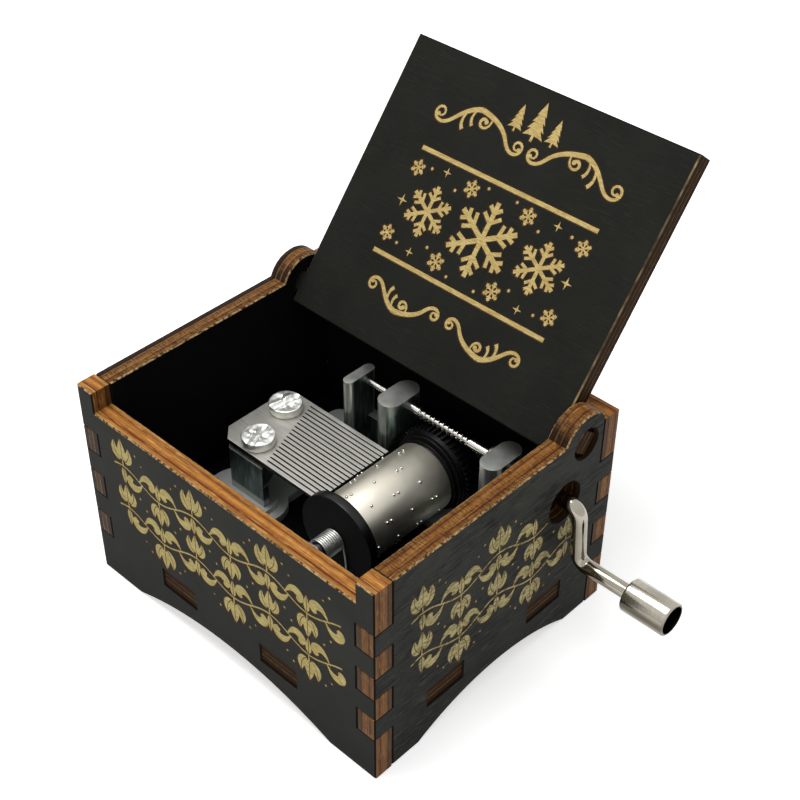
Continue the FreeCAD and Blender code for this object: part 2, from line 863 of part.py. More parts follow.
def check_spring():
    """One wire: a leg up from the casting, the coil round the sleeve, and a leg down again."""
    radius = spring_outer_radius - spring_wire / 2
    stops = winding(
        Vector(axle_x, coil_front, axle_z), Vector(-1, 0, 0), Vector(0, 0, 1), Vector(0, 1, 0),
        radius, spring_pitch, spring_turns, 0,
    )
    first_place, first_heading = stops[0]
    last_place = stops[-1][0]
    drift = spring_knee_drop * first_heading.y / first_heading.z
    knee_z = axle_z - spring_knee_drop
    first_leg = leg_places(Vector(first_place.x, first_place.y - drift, knee_z), first_place)
    last_leg = leg_places(Vector(last_place.x, last_place.y + drift, knee_z), last_place)
    edges = leg_edges(first_leg) + winding_edges(stops) + leg_edges(last_leg[::-1])
    gap = least_self_gap(edges, spring_wire, 4 * radius)
    print("check_spring: least gap to itself %.3f mm" % gap)
    return tube(edges, first_leg[0], Vector(0, 0, 1), spring_wire / 2)


def worm_shaft():
    """Steel shaft: thin in the posts, a shoulder each side of the worm, and the worm's thread."""
    shoulder_left = post_2_right + end_float
    shoulder_right = post_3_left - bush_flange_thickness - end_float
    pieces = [
        rod_x(shaft_y, shaft_z, shaft_radius, shaft_start, shoulder_left),
        rod_x(shaft_y, shaft_z, shaft_shoulder_radius, shoulder_left, worm_start + worm_pitch / 4),
        rod_x(shaft_y, shaft_z, worm_core_radius, worm_start + worm_pitch / 4, worm_end - worm_pitch / 4),
        rod_x(shaft_y, shaft_z, shaft_shoulder_radius, worm_end - worm_pitch / 4, shoulder_right),
        rod_x(shaft_y, shaft_z, shaft_radius, shoulder_right, shaft_end),
    ]
    stops = winding(
        Vector(worm_start, shaft_y, shaft_z), Vector(0, 1, 0), Vector(0, 0, 1), Vector(1, 0, 0),
        worm_helix_radius, worm_pitch, worm_turns, 0,
    )
    thread = tube(winding_edges(stops), stops[0][0], stops[0][1], worm_wire_radius)
    return joined(pieces).fuse(thread)


def shaft_bush():
    """Bush pressed into the post beside the crank; its hole lets the shaft turn."""
    sleeve = rod_x(shaft_y, shaft_z, bush_radius, post_3_left, post_3_right)
    flange = rod_x(shaft_y, shaft_z, bush_flange_radius, post_3_left - bush_flange_thickness, post_3_left)
    hole_radius = shaft_radius + running_clearance
    bore = rod_x(shaft_y, shaft_z, hole_radius, post_3_left - bush_flange_thickness, post_3_right)
    return joined([sleeve, flange]).cut(bore)


def crank_path(corner, heading_in, heading_out):
    """Start, middle and end of the bend at a square corner of the rod."""
    start = corner - heading_in * bend_radius
    end = corner + heading_out * bend_radius
    centre = start + heading_out * bend_radius
    middle = centre + (corner - centre) * (1 / math.sqrt(2))
    return start, middle, end


def crank_arm():
    """Rod bent twice at a right angle, bored for the shaft and turned down for the knob."""
    along = Vector(1, 0, 0)
    down = Vector(0, knob_y - shaft_y, knob_z - shaft_z)
    down.normalize()
    shaft_corner = Vector(arm_x, shaft_y, shaft_z)
    knob_corner = Vector(arm_x, knob_y, knob_z)
    rod_begin = Vector(rod_start, shaft_y, shaft_z)
    shoulder = Vector(knob_start - end_float, knob_y, knob_z)
    first = crank_path(shaft_corner, along, down)
    second = crank_path(knob_corner, down, along)
    edges = [
        Part.makeLine(rod_begin, first[0]),
        Part.Arc(*first).toShape(),
        Part.makeLine(first[2], second[0]),
        Part.Arc(*second).toShape(),
        Part.makeLine(second[2], shoulder),
    ]
    rod = tube(edges, rod_begin, along, rod_radius)
    stub_end = knob_start + knob_end_wall + end_float + rivet_thickness + rod_end_spare
    stub = rod_x(knob_y, knob_z, rod_end_radius, knob_start - end_float, stub_end)
    bore = rod_x(shaft_y, shaft_z, shaft_radius, rod_start, shaft_end)
    return joined([rod, stub]).cut(bore)


def crank_knob():
    """Turned sleeve, open at its outer end, with a wall that the rod's end passes through."""
    body = rod_x(knob_y, knob_z, knob_radius, knob_start, knob_end)
    rims = [e for e in body.Edges if e.Curve.TypeId == "Part::GeomCircle"]
    body = body.makeFillet(knob_edge, rims)
    bore = rod_x(knob_y, knob_z, knob_bore_radius, knob_start + knob_end_wall, knob_end)
    hole = rod_x(knob_y, knob_z, rod_end_radius + running_clearance, knob_start, knob_end)
    return body.cut([bore, hole])


def knob_rivet():
    """Washer riveted on the rod's end, inside the knob."""
    start = knob_start + knob_end_wall + end_float
    ring = rod_x(knob_y, knob_z, rivet_radius, start, start + rivet_thickness)
    return ring.cut(rod_x(knob_y, knob_z, rod_end_radius, start, start + rivet_thickness))


PIECES = {
    "front_wall": front_wall,
    "back_wall": back_wall,
    "left_wall": lambda: side_wall(0),
    "right_wall": right_wall,
    "floor_board": floor_board,
    "lid": lid,
    "movement_frame": movement_frame,
    "mounting_screws": mounting_screws,
    "comb": comb,
    "comb_spacer": comb_spacer,
    "comb_screws": comb_screws,
    "tuning_weights": tuning_weights,
    "cylinder_barrel": cylinder_barrel,
    "cylinder_pins": cylinder_pins,
    "cylinder_front_cap": cylinder_front_cap,
    "drive_gear": drive_gear,
    "cylinder_axle": cylinder_axle,
    "axle_washers": axle_washers,
    "axle_bracket": axle_bracket,
    "bracket_screw": bracket_screw,
    "check_spring": check_spring,
    "worm_shaft": worm_shaft,
    "shaft_bush": shaft_bush,
    "crank_arm": crank_arm,
    "crank_knob": crank_knob,
    "knob_rivet": knob_rivet,
}

os.makedirs("parts", exist_ok=True)
for name, make in PIECES.items():
    shape = make()
    shape.exportStep("parts/%s.step" % name)
    print("%-20s solids %2d  volume %9.3f" % (name, len(shape.Solids), shape.Volume))

print("lid closes through %.4f degrees, hinge at y %.4f z %.4f" % (180 - lid_elevation, hinge_y, hinge_z))
print("shaft axis y %.4f z %.4f, knob axis y %.4f z %.4f" % (shaft_y, shaft_z, knob_y, knob_z))
print("comb tips at x %.3f, lid tail %.3f" % (comb_tip, lid_tail))
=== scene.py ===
"""Looks of the wooden hand-cranked music box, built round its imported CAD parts."""
import math

import bmesh
import bpy
from mathutils import Matrix, Vector, geometry, noise


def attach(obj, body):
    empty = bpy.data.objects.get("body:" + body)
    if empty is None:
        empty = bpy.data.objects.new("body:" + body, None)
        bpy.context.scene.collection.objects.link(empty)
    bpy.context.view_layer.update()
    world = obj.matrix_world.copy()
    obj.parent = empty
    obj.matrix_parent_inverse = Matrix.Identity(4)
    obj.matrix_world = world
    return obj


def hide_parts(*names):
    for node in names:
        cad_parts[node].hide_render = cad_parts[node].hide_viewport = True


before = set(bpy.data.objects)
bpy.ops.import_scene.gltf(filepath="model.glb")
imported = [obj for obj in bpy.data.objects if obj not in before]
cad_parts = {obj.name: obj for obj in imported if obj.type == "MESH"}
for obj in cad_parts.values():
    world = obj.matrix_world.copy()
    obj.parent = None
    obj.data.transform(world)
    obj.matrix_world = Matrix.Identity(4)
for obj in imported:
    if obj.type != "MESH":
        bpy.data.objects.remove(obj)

MM = 0.001
X, Y, Z = Vector((1, 0, 0)), Vector((0, 1, 0)), Vector((0, 0, 1))
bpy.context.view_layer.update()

# Sizes and places, in millimetres. A point on a wall counts along the wall and up.
PLY = 3.66
BOARD_CHAMFER = 0.22
ENGRAVED_DEPTH = 0.1
BURNT_WIDTH = 0.17
EAR_FOOT = 37.4
WALL_TOP = 33
FRONT_FIELD = (7.2, 57.4)
SIDE_FIELD = (7.5, 46.0)
LID_SWING = 128.974
LID_LEAN = math.radians(180 - LID_SWING)
LID_PIVOT = (45.35, 37.3323)
LID_DRAWING_MIDDLE = 32.5
CRANK_HOLE = Vector((41.0, 28.0))
SHAFT_AXIS = (41.6, 28.2023)
KNOB_AXIS = (42.6992, 16.3531)
CYLINDER_AXIS = Vector((38.5, 0, 20.001))
SCREW_TOP = 24.901

# Material slots of a board, in the order in which finishes lists them
PAINTED, CUT, ENGRAVED, RIM, BACK, FREE, BURNT, IN_HOLES = range(8)


# Materials

def colour(tone):
    """Linear colour of a six-digit sRGB code. A colour that is linear already stays as it is."""
    if not isinstance(tone, str):
        return tone
    parts = [int(tone[i:i + 2], 16) / 255 for i in (0, 2, 4)]
    return tuple(p / 12.92 if p <= 0.04045 else ((p + 0.055) / 1.055) ** 2.4 for p in parts)


def spelled(socket):
    """The shader's own name of a socket that is written as a Python name."""
    return socket.replace("_", " ").title().replace("Ior", "IOR")


class Surface:
    """One procedural material. Its patterns are sized in millimetres, in the piece's own axes."""

    def __init__(self, name, **values):
        self.material = bpy.data.materials.new(name)
        self.material.use_nodes = True
        self.tree = self.material.node_tree
        self.shader = self.tree.nodes["Principled BSDF"]
        for socket, value in values.items():
            self.shader.inputs[spelled(socket)].default_value = value
        self.place = self.vector("MULTIPLY", self.output("ShaderNodeTexCoord", "Object"), (1000,) * 3)

    def node(self, kind, links=(), **settings):
        made = self.tree.nodes.new(kind)
        for key, value in settings.items():
            setattr(made, key, value)
        for socket, source in links:
            if isinstance(source, bpy.types.NodeSocket):
                self.tree.links.new(source, made.inputs[socket])
            else:
                made.inputs[socket].default_value = source
        return made

    def output(self, kind, name):
        return self.node(kind).outputs[name]

    def vector(self, operation, a, b):
        return self.node("ShaderNodeVectorMath", [(0, a), (1, b)], operation=operation).outputs[0]

    def math(self, operation, a, b=0.0):
        return self.node("ShaderNodeMath", [(0, a), (1, b)], operation=operation).outputs[0]

    def times(self, a, b):
        return self.math("MULTIPLY", a, b)

    def plus(self, total, *terms):
        for term in terms:
            total = self.math("ADD", total, term)
        return total

    def axis(self, name):
        return self.node("ShaderNodeSeparateXYZ", [(0, self.place)]).outputs[name]

    def facing(self, name):
        """How far the surface faces along one of the piece's own axes, from -1 to 1."""
        normal = self.output("ShaderNodeTexCoord", "Normal")
        return self.node("ShaderNodeSeparateXYZ", [(0, normal)]).outputs[name]

    def from_axis(self, point):
        """Distance from a line along X through the point, in millimetres."""
        away = self.vector("SUBTRACT", self.place, (0, *point))
        flat = self.vector("MULTIPLY", away, (0, 1, 1))
        return self.node("ShaderNodeVectorMath", [(0, flat)], operation="LENGTH").outputs["Value"]

    def noise(self, size, stretch=(1, 1, 1), detail=3.0, roughness=0.5, distortion=0.0):
        place = self.vector("DIVIDE", self.place, tuple(size * s for s in stretch))
        return self.node("ShaderNodeTexNoise", [
            ("Vector", place), ("Scale", 1.0), ("Detail", detail),
            ("Roughness", roughness), ("Distortion", distortion),
        ]).outputs["Fac"]

    def ramp(self, factor, *stops):
        made = self.node("ShaderNodeValToRGB", [(0, factor)])
        points = made.color_ramp.elements
        while len(points) < len(stops):
            points.new(0.5)
        for point, (place, tone) in zip(points, stops):
            point.position = place
            point.color = (*colour(tone), 1)
        return made.outputs[0]

    def spread(self, factor, low, high, to_low=0.0, to_high=1.0):
        return self.node("ShaderNodeMapRange", [
            (0, factor), (1, low), (2, high), (3, to_low), (4, to_high),
        ]).outputs[0]

    def mix(self, factor, a, b):
        """From a to b, each a colour or a socket, as the factor's socket goes from 0 to 1."""
        a, b = (c if isinstance(c, bpy.types.NodeSocket) else (*colour(c), 1) for c in (a, b))
        return self.node("ShaderNodeMix", [(0, factor), (6, a), (7, b)], data_type="RGBA").outputs[2]

    def paint(self, **sources):
        for socket, source in sources.items():
            self.tree.links.new(source, self.shader.inputs[spelled(socket)])

    def bump(self, height, depth):
        """Raises the surface by up to depth millimetres where height is 1."""
        made = self.node("ShaderNodeBump", [("Height", height), ("Distance", depth * MM)])
        self.tree.links.new(made.outputs[0], self.shader.inputs["Normal"])
        return self


def stained_paint(name, low, high, streaks, speckle):
    """Charcoal stain over plywood: faint clouds, the grain showing through as fine streaks, and
    painted shade that darkens it towards the foot of the walls."""
    made = Surface(name, roughness=0.6, specular_ior_level=0.06)
    clouds = made.noise(9)
    fine = made.noise(0.28, detail=4, roughness=0.7)
    grain = made.noise(0.3, stretch=(15, 1, 1), roughness=0.6)
    pores = made.spread(made.noise(0.22, stretch=(13, 1, 1), detail=1), 0.62, 0.7)
    open_grain = made.spread(made.noise(4, stretch=(3, 1, 1), detail=2), 0.36, 0.56, 0.2 * streaks, streaks)
    base = made.ramp(clouds, (0.3, low), (0.7, high))
    cloudy = made.mix(made.spread(fine, 0.4, 0.68, 0, speckle), base, "161612")
    # Painted shade: the stain is mixed darker towards the foot of the walls.
    lower = made.mix(made.spread(made.axis("Y"), 2, 28, 0.6, 0), cloudy, "0a0a08")
    grain_share = made.times(made.spread(grain, 0.46, 0.55), open_grain)
    grained = made.mix(grain_share, lower, "080807")
    made.paint(base_color=made.mix(made.times(pores, open_grain), grained, "403f37"))
    relief = made.plus(made.times(made.plus(grain, pores), open_grain), fine)
    return made.bump(relief, 0.03)


def grained_plies(made, level, streaks, marks):
    """The wood before it is scorched: three plies with burnt glue lines, streaks, marks and patches."""
    plies = made.ramp(
        level,
        (0.0, "956534"), (0.08, "a8763c"), (0.2, "9a642b"),
        (0.27, "6e3712"), (0.33, "9c6026"), (0.45, "c08440"),
        (0.58, "a66a2a"), (0.67, "834318"), (0.72, "4e200a"),
        (0.79, "9d6630"), (0.92, "b17c40"), (1.0, "cfa36b"),
    )
    streaked = made.mix(made.spread(streaks, 0.48, 0.62, 0, 0.62), plies, "57290c")
    glints = made.noise(0.2, stretch=(22, 10, 1), detail=4, roughness=0.65)
    pale = made.mix(made.spread(glints, 0.54, 0.66, 0, 0.7), streaked, "dcaa62")
    marked = made.mix(marks, pale, "3a1a0a")
    patches = made.spread(made.noise(1.1, detail=4), 0.5, 0.75, 0, 0.45)
    return made.mix(patches, marked, "6a350f")


def scorch_and_shade(made, level, upper_shade, side_shade, outer, on_ears):
    """How dark the edge is: painted shade by the way it faces, more burn in the ply at the back, and as
    asked.
    """
    # Painted shade: the faces that look up along the board take upper_shade, the others side_shade.
    upward = made.spread(made.facing("Y"), 0.5, 0.95)
    shade = made.spread(upward, 0, 1, side_shade, upper_shade)
    at_back = made.times(made.spread(level, 0.25, 0.5, 0.25, 0), made.math("SUBTRACT", 1, upward))
    outside = made.spread(level, 0.62, 0.74, 0, outer)
    return made.math("MINIMUM", made.plus(shade, at_back, outside, on_ears), 0.94)


def pale_lines(made, level, strength):
    """Two thin pale lines along the edge and a trace of a third at the back, broken in places."""
    heights = (0, 0.6), (0.05, 0), (0.29, 0), (0.35, 1), (0.41, 0), (0.6, 0), (0.65, 1), (0.69, 0)
    thin = made.ramp(level, *((place, (grey,) * 3) for place, grey in heights))
    broken = made.spread(made.noise(0.9, detail=4), 0.35, 0.6, strength * 0.4, strength)
    return made.times(thin, broken)


def cut_plywood(name, upper_shade, side_shade, ticks=0.0, outer=0.0, ears=0.0, lines=0.2,
                ear_ticks=0.0, gloss=0.1):
    """Laser-cut edge of three plies: two burnt glue lines and fine streaks.

    The shades darken the faces that look up along the board and the others: painted shade by the way they
    face, together with burning. outer and ears are the burn that the painted side's ply and the round ears
    have on top. ticks and ear_ticks are the strength of fine marks across the edge, lines that of the pale
    lines."""
    made = Surface(name, roughness=0.55, specular_ior_level=gloss)
    wander = made.times(made.math("SUBTRACT", made.noise(5), 0.5), 0.06)
    level = made.plus(made.math("DIVIDE", made.axis("Z"), PLY), 0.5, wander)
    on_ear = made.spread(made.axis("Y"), EAR_FOOT, EAR_FOOT + 0.8)
    streaks = made.noise(0.17, stretch=(50, 18, 1), detail=4, roughness=0.7)
    marks = made.spread(made.noise(0.24, stretch=(1, 1, 7), roughness=0.6), 0.5, 0.57)
    strength = made.plus(ticks, made.times(on_ear, ear_ticks))
    wood = grained_plies(made, level, streaks, made.times(marks, strength))
    # burnt is the edge's burn together with its painted shade.
    burnt = scorch_and_shade(made, level, upper_shade, side_shade, outer, made.times(on_ear, ears))
    dark = made.mix(burnt, wood, "150c06")
    made.paint(base_color=made.mix(pale_lines(made, level, lines), dark, "b08f63"))
    return made.bump(made.plus(streaks, made.times(marks, ticks)), 0.05)


def mottled_wood(name, size, roughness, gloss, *stops):
    """Worn or burnt wood along an edge, in tones that follow one noise of the given size."""
    made = Surface(name, roughness=roughness, specular_ior_level=gloss)
    mottle = made.noise(size)
    made.paint(base_color=made.ramp(mottle, *stops))
    return made.bump(mottle, 0.02)


def engraved_wood(name, hatching, main, light, dark):
    """Bare wood at the bottom of the engraving, with its grain and the laser's hatching."""
    made = Surface(name, roughness=0.65, specular_ior_level=0.15)
    grain = made.noise(0.13, stretch=(10, 1, 1), detail=4, roughness=0.65)
    hatch = made.noise(0.2, stretch=(5, 1, 1), detail=2, distortion=0.4)
    patches = made.noise(2.5)
    wood = made.ramp(grain, (0.3, dark), (0.5, main), (0.72, light))
    hatched = made.mix(made.spread(hatch, 0.52, 0.62, 0, hatching), wood, dark)
    made.paint(base_color=made.mix(made.spread(patches, 0.5, 0.75, 0, 0.35), hatched, dark))
    return made.bump(grain, 0.02)


def inner_black():
    """Inside of the case: near black, darker than the stain outside, which stands in for its shade."""
    made = Surface("inner_black", roughness=0.85, specular_ior_level=0.03)
    grain = made.noise(0.6, stretch=(5, 1, 1), detail=4)
    made.paint(base_color=made.ramp(grain, (0.3, (0.0016, 0.0022, 0.0018)), (0.7, (0.003, 0.0038, 0.0032))))
    return made.bump(grain, 0.005)


def cast_zinc():
    """Die-cast zinc: dark grey sides and smoother, lighter upper faces as painted shade and painted light,
    painted highlights on its edges, and a paler, duller foot whose paleness is painted light.
    """
    made = Surface("cast_zinc")
    mottle = made.noise(2.2, detail=4, roughness=0.5)
    flow = made.noise(0.5, stretch=(1, 1, 8))
    # Painted shade: the sides take a dark copy of the zinc.
    sides = made.ramp(flow, (0.36, "3a4744"), (0.52, "505d5a"), (0.68, "6f7a76"))
    cloudy = made.mix(made.spread(mottle, 0.4, 0.7, 0, 0.4), sides, "3f4c4a")
    # Painted light: the faces that look up take a light copy of the zinc.
    lit_tops = made.ramp(mottle, (0.3, "b8bab4"), (0.7, "cfd1ca"))
    upward = made.facing("Z")
    body = made.mix(made.spread(upward, 0.93, 0.98), cloudy, lit_tops)
    # Painted highlight: faces that slope, the bevelled edges, are mixed towards near white.
    edge = made.times(made.spread(upward, 0.12, 0.3), made.spread(upward, 0.9, 0.99, 1, 0))
    # Painted light: the foot, below about 14 mm, is painted paler.
    foot = made.spread(made.axis("Z"), 14.0, 14.6, 1, 0)
    # worn is the zinc with the painted highlights on its edges and the painted light on its foot.
    worn = made.mix(edge, made.mix(foot, body, "adb2ae"), "e4e6e0")
    made.paint(
        base_color=worn,
        metallic=made.spread(foot, 0, 1, 0.88, 0.2),
        roughness=made.plus(made.spread(mottle, 0.3, 0.7, 0.34, 0.42), made.spread(edge, 0, 1, 0, -0.12)),
    )
    return made.bump(flow, 0.006)


def ground_steel():
    """Comb: ground grey steel with fine marks along the teeth, and painted shade between them."""
    made = Surface("ground_steel", metallic=0.9)
    marks = made.noise(0.07, stretch=(60, 1, 1))
    cloud = made.noise(3)
    steel = made.ramp(marks, (0.3, "a5a39c"), (0.7, "c6c4bc"))
    # Painted shade: faces that look sideways, the sides of the teeth in the gaps, are painted near black.
    shade_between_teeth = made.spread(made.math("ABSOLUTE", made.facing("Z")), 0.3, 0.8, 1, 0)
    made.paint(
        base_color=made.mix(shade_between_teeth, steel, "141413"),
        roughness=made.spread(cloud, 0.3, 0.7, 0.44, 0.54),
    )
    return made.bump(marks, 0.004)


def plate(name, low, high, roughness, clouds=4, marks=(0.1, 6), depth=0.0012, below=None):
    """Plated metal with clouds, and fine marks of the given size and length for their width.

    below is a duller, darker colour painted on what faces down at rest, as a painted dark reflection."""
    made = Surface(name, metallic=1.0)
    cloudy = made.noise(clouds, detail=2)
    fine = made.noise(marks[0], stretch=(1, marks[1], 1), detail=2)
    tone = made.ramp(cloudy, (0.3, low), (0.7, high))
    if below:
        # Painted reflection: what faces down at rest is mixed towards the darker colour.
        tone = made.mix(made.spread(made.facing("Z"), -0.6, 0.35, 0.75, 0), tone, below)
    made.paint(base_color=tone, roughness=made.spread(cloudy, 0.3, 0.75, *roughness))
    return made.bump(fine, depth)


def knob_nickel():
    """The knob: turned, with a browner band painted on the side that is below at rest as a painted dark
    reflection, and painted shade in its bore.
    """
    made = Surface("nickel_knob", metallic=1.0)
    turning = made.noise(0.07, stretch=(1, 14, 14), detail=2)
    clouds = made.noise(4, detail=2)
    nickel = made.ramp(clouds, (0.3, "aba698"), (0.7, "c3beb0"))
    turned = made.mix(made.spread(turning, 0.4, 0.7, 0, 0.3), nickel, "878275")
    # Painted reflection: a darker, browner band on the side that faces down at rest.
    below = made.times(made.spread(made.facing("Z"), 0.1, 0.7, 0.8, 0),
                       made.spread(made.facing("Z"), -0.45, -0.05, 0.45, 1))
    lower = made.mix(below, turned, "40382a")
    # Painted shade: the bore is painted near black.
    shaded_bore = made.spread(made.from_axis(KNOB_AXIS), 2.4, 2.5, 1, 0)
    made.paint(
        base_color=made.mix(shaded_bore, lower, "14120f"),
        roughness=made.spread(turning, 0.3, 0.7, 0.15, 0.21),
    )
    return made.bump(turning, 0.002)


def marked_metal(name, tones, roughness, depth, size=0.2, stretch=(4, 1, 1), detail=3, metallic=1.0):
    """Metal with short marks, which change its tone and its roughness."""
    made = Surface(name, metallic=metallic)
    marks = made.noise(size, stretch=stretch, detail=detail)
    made.paint(
        base_color=made.ramp(marks, (0.3, tones[0]), (0.7, tones[1])),
        roughness=made.spread(marks, 0.3, 0.7, *roughness),
    )
    return made.bump(marks, depth)


def drawn_steel(name, main, roughness):
    """Plain bright steel."""
    darker = tuple(0.8 * c for c in colour(main))
    return marked_metal(name, (darker, main), (roughness, roughness + 0.12), 0.004)


def black_acetal(name, gloss):
    """Black moulded plastic: dull on its flat ends, and smoother round its rims."""
    made = Surface(name, specular_ior_level=gloss)
    peel = made.noise(0.25)
    clouds = made.noise(2.5)
    flat = made.spread(made.math("ABSOLUTE", made.facing("Y")), 0.5, 0.9, 0, 0.45)
    made.paint(
        base_color=made.ramp(clouds, (0.3, "020202"), (0.7, "060605")),
        roughness=made.plus(made.spread(peel, 0.3, 0.7, 0.3, 0.4), flat),
    )
    return made.bump(peel, 0.003)


# Engraved drawings: convex cells in millimetres on a board's face

class Drawing:
    """Cells of the engraved floor, and the wider cells that include the burnt rim."""

    def __init__(self, origin=Vector((0, 0))):
        self.origin = origin
        self.floor = []
        self.burnt = []

    def keep(self, kind, cells):
        kind += [[self.origin + p for p in cell] for cell in cells]

    def shape(self, points):
        """A convex outline, counterclockwise."""
        self.keep(self.floor, [points])
        self.keep(self.burnt, [grown(points, BURNT_WIDTH)])

    def dot(self, centre, radius):
        self.shape([centre + radius * direction(360 * i / 10) for i in range(10)])

    def strip(self, path, left, right):
        """A band along a path, which reaches as far to each side as left and right say."""
        self.keep(self.floor, band(path, left, right))
        start = path[0] + (path[0] - path[1]).normalized() * BURNT_WIDTH
        end = path[-1] + (path[-1] - path[-2]).normalized() * BURNT_WIDTH
        wider = [[reach + BURNT_WIDTH for reach in side] for side in (left, right)]
        wider = [side[:1] + side + side[-1:] for side in wider]
        self.keep(self.burnt, band([start] + path + [end], *wider))

    def stroke(self, start, heading, length, turns, width, steps):
        """A curved stroke. width(s) gives its half width at the share s of its length."""
        path, _ = trail(start, heading, length, turns, steps)
        half = [width(i / steps) for i in range(steps + 1)]
        self.strip(path, half, half)

    def line(self, start, end, half):
        self.strip([start, end], [half] * 2, [half] * 2)


def direction(degrees):
    return Vector((math.cos(math.radians(degrees)), math.sin(math.radians(degrees))))


def grown(points, distance):
    """The same convex outline, moved outwards by distance."""
    moved = []
    for before, here, after in zip(points[-1:] + points, points, points[1:] + points[:1]):
        first = (here - before).normalized()
        second = (after - here).normalized()
        out = Vector((first.y + second.y, -first.x - second.x))
        moved.append(here + out * (distance / max(1 + first.dot(second), 0.35)))
    return moved


def band(path, left, right):
    """Cells along a path, each counterclockwise also where the path turns tightly."""
    rails = []
    for i, point in enumerate(path):
        heading = (path[min(i + 1, len(path) - 1)] - path[max(i - 1, 0)]).normalized()
        side = Vector((-heading.y, heading.x))
        rails.append((point - side * right[i], point + side * left[i]))
    cells = []
    for a, b in zip(rails, rails[1:]):
        middle = (a[0] + a[1] + b[0] + b[1]) / 4
        cells.append(sorted((a[0], b[0], b[1], a[1]),
                            key=lambda p: math.atan2(p.y - middle.y, p.x - middle.x)))
    return cells


def trail(start, heading, length, turns, steps):
    """Points of a curve, and its last heading.

    It turns at first as if by turns[0] degrees over its whole length, and at last by turns[1]."""
    point, places = start.copy(), [start.copy()]
    for i in range(steps):
        s = (i + 0.5) / steps
        angle = heading + turns[0] * s + (turns[1] - turns[0]) * s * s / 2
        point = point + direction(angle) * (length / steps)
        places.append(point.copy())
    return places, heading + (turns[0] + turns[1]) / 2


def swelling(thin, thick, peak):
    """Half width that grows from thin to thick at peak, and rounds off to the end."""
    def width(s):
        rise = math.sin(math.pi / 2 * min(s / peak, 1)) ** 2
        fall = math.sqrt(max(1 - max((s - peak) / (1 - peak), 0) ** 2.4, 0.02))
        return thin + (thick - thin) * rise if s < peak else thick * fall
    return width


def leaf(drawing, base, heading, length, half, bend, vein=0.07):
    """A pointed leaf in two halves, with its midrib left dark between them."""
    steps = 11
    path, _ = trail(base, heading, length, (bend, bend), steps)
    reach = [max(half * math.sin(math.pi * (i / steps) ** 0.75) ** 0.85, vein + 0.04)
             for i in range(steps + 1)]
    inner = [-vein] * (steps + 1)
    drawing.strip(path, reach, inner)
    drawing.strip(path, inner, reach)


def bud(drawing, base, heading, length, hand):
    """A comma: a thin tail that curls over into a heavy head."""
    drawing.stroke(base, heading, length, (-90 * hand, 560 * hand), swelling(0.12, 0.92, 0.74), 22)


def tulip(drawing, base, heading, scale):
    """Three leaves that fan out from one point, on a short stalk."""
    drawing.line(base - direction(heading) * 0.9 * scale, base + direction(heading) * 0.3 * scale, 0.13)
    leaf(drawing, base + direction(heading) * 0.2 * scale, heading, 3.7 * scale, 0.84 * scale, 0)
    for side in (1, -1):
        leaf(drawing, base + direction(heading + 86 * side) * 0.46 * scale, heading + 50 * side,
             3.3 * scale, 0.78 * scale, -62 * side)


def vine_stem(drawing, points, clear):
    """The stem through the points, in runs that stop where the wall isn't free."""
    half, room, fewest = 0.14, 0.6, 14
    run = []
    for point in points + [None]:
        if point is not None and clear(point, room):
            run.append(point)
            continue
        if len(run) > fewest:
            drawing.strip(run, [half] * len(run), [half] * len(run))
        run = []


def crest_ornament(drawing, crest, up, edge, clear):
    """A tulip away from the stem and a leaf on its other side. The outer tulips are larger."""
    room = 3.0
    size = 1.16 if up == 90 * edge else 1.02
    if clear(crest + direction(up) * room, room):
        tulip(drawing, crest + direction(up) * 0.95, up, size)
    if clear(crest - direction(up) * room, room):
        leaf(drawing, crest - direction(up) * 0.3, -up, 3.3, 0.62, 0)


def slope_ornament(drawing, middle, hand, edge):
    """A bud and a dot on each side of the stem, and a second dot on the outer side."""
    for way in (1, -1):
        bud(drawing, middle + Vector((0.5 * hand, 0.0)) * way, 90 * way + 42 * hand, 5.5, hand)
        drawing.dot(middle + Vector((0.7 * hand, 5.3)) * way, 0.2)
        if way == edge:
            drawing.dot(middle + Vector((-0.6 * hand, 3.9)) * way, 0.16)


def vine(drawing, low, high, height, edge, clear):
    """A wavy stem with a tulip and a leaf on each crest and a pair of buds on each slope.

    edge is the way from the row to the outside of the ornament: 1 on the top row, -1 on the bottom row.
    clear(point, room) says whether the wall is free that far round the point."""
    period, phase, swing, steps, slope_room = 16.4, 40, 1.25, 200, 3.0
    sweep = 360 * (high - low) / period

    def place(turn):
        return Vector((low + (turn - phase) * period / 360, height + swing * math.sin(math.radians(turn))))

    vine_stem(drawing, [place(phase + sweep * i / steps) for i in range(steps + 1)], clear)
    for turn in range(90 * math.ceil(phase / 90), math.ceil(phase + sweep), 90):
        here = place(turn)
        if turn % 180 == 90:
            crest_ornament(drawing, here, 90 * math.sin(math.radians(turn)), edge, clear)
        elif clear(here, slope_room):
            slope_ornament(drawing, here, math.cos(math.radians(turn)), edge)


def wall_drawing(low, high, clear):
    """Two parallel rows of vine."""
    drawing = Drawing()
    for height, edge in ((18.1, -1), (27.0, 1)):
        vine(drawing, low, high, height, edge, clear)
    return drawing


def pine(drawing, foot, height):
    """A fir tree of four drooping tiers on a short trunk."""
    drawing.shape([foot + Vector(p) * height for p in
                   ((-0.035, 0), (0.035, 0), (0.035, 0.16), (-0.035, 0.16))])
    for low, top, half in ((0.1, 0.5, 0.3), (0.28, 0.66, 0.245), (0.46, 0.82, 0.19), (0.64, 1.0, 0.135)):
        for side in (1, -1):
            corners = [Vector((0, top)), Vector((0, low + 0.05)), Vector((side * half * 0.55, low + 0.035)),
                       Vector((side * half, low))]
            drawing.shape([foot + p * height for p in (corners if side == 1 else corners[::-1])])


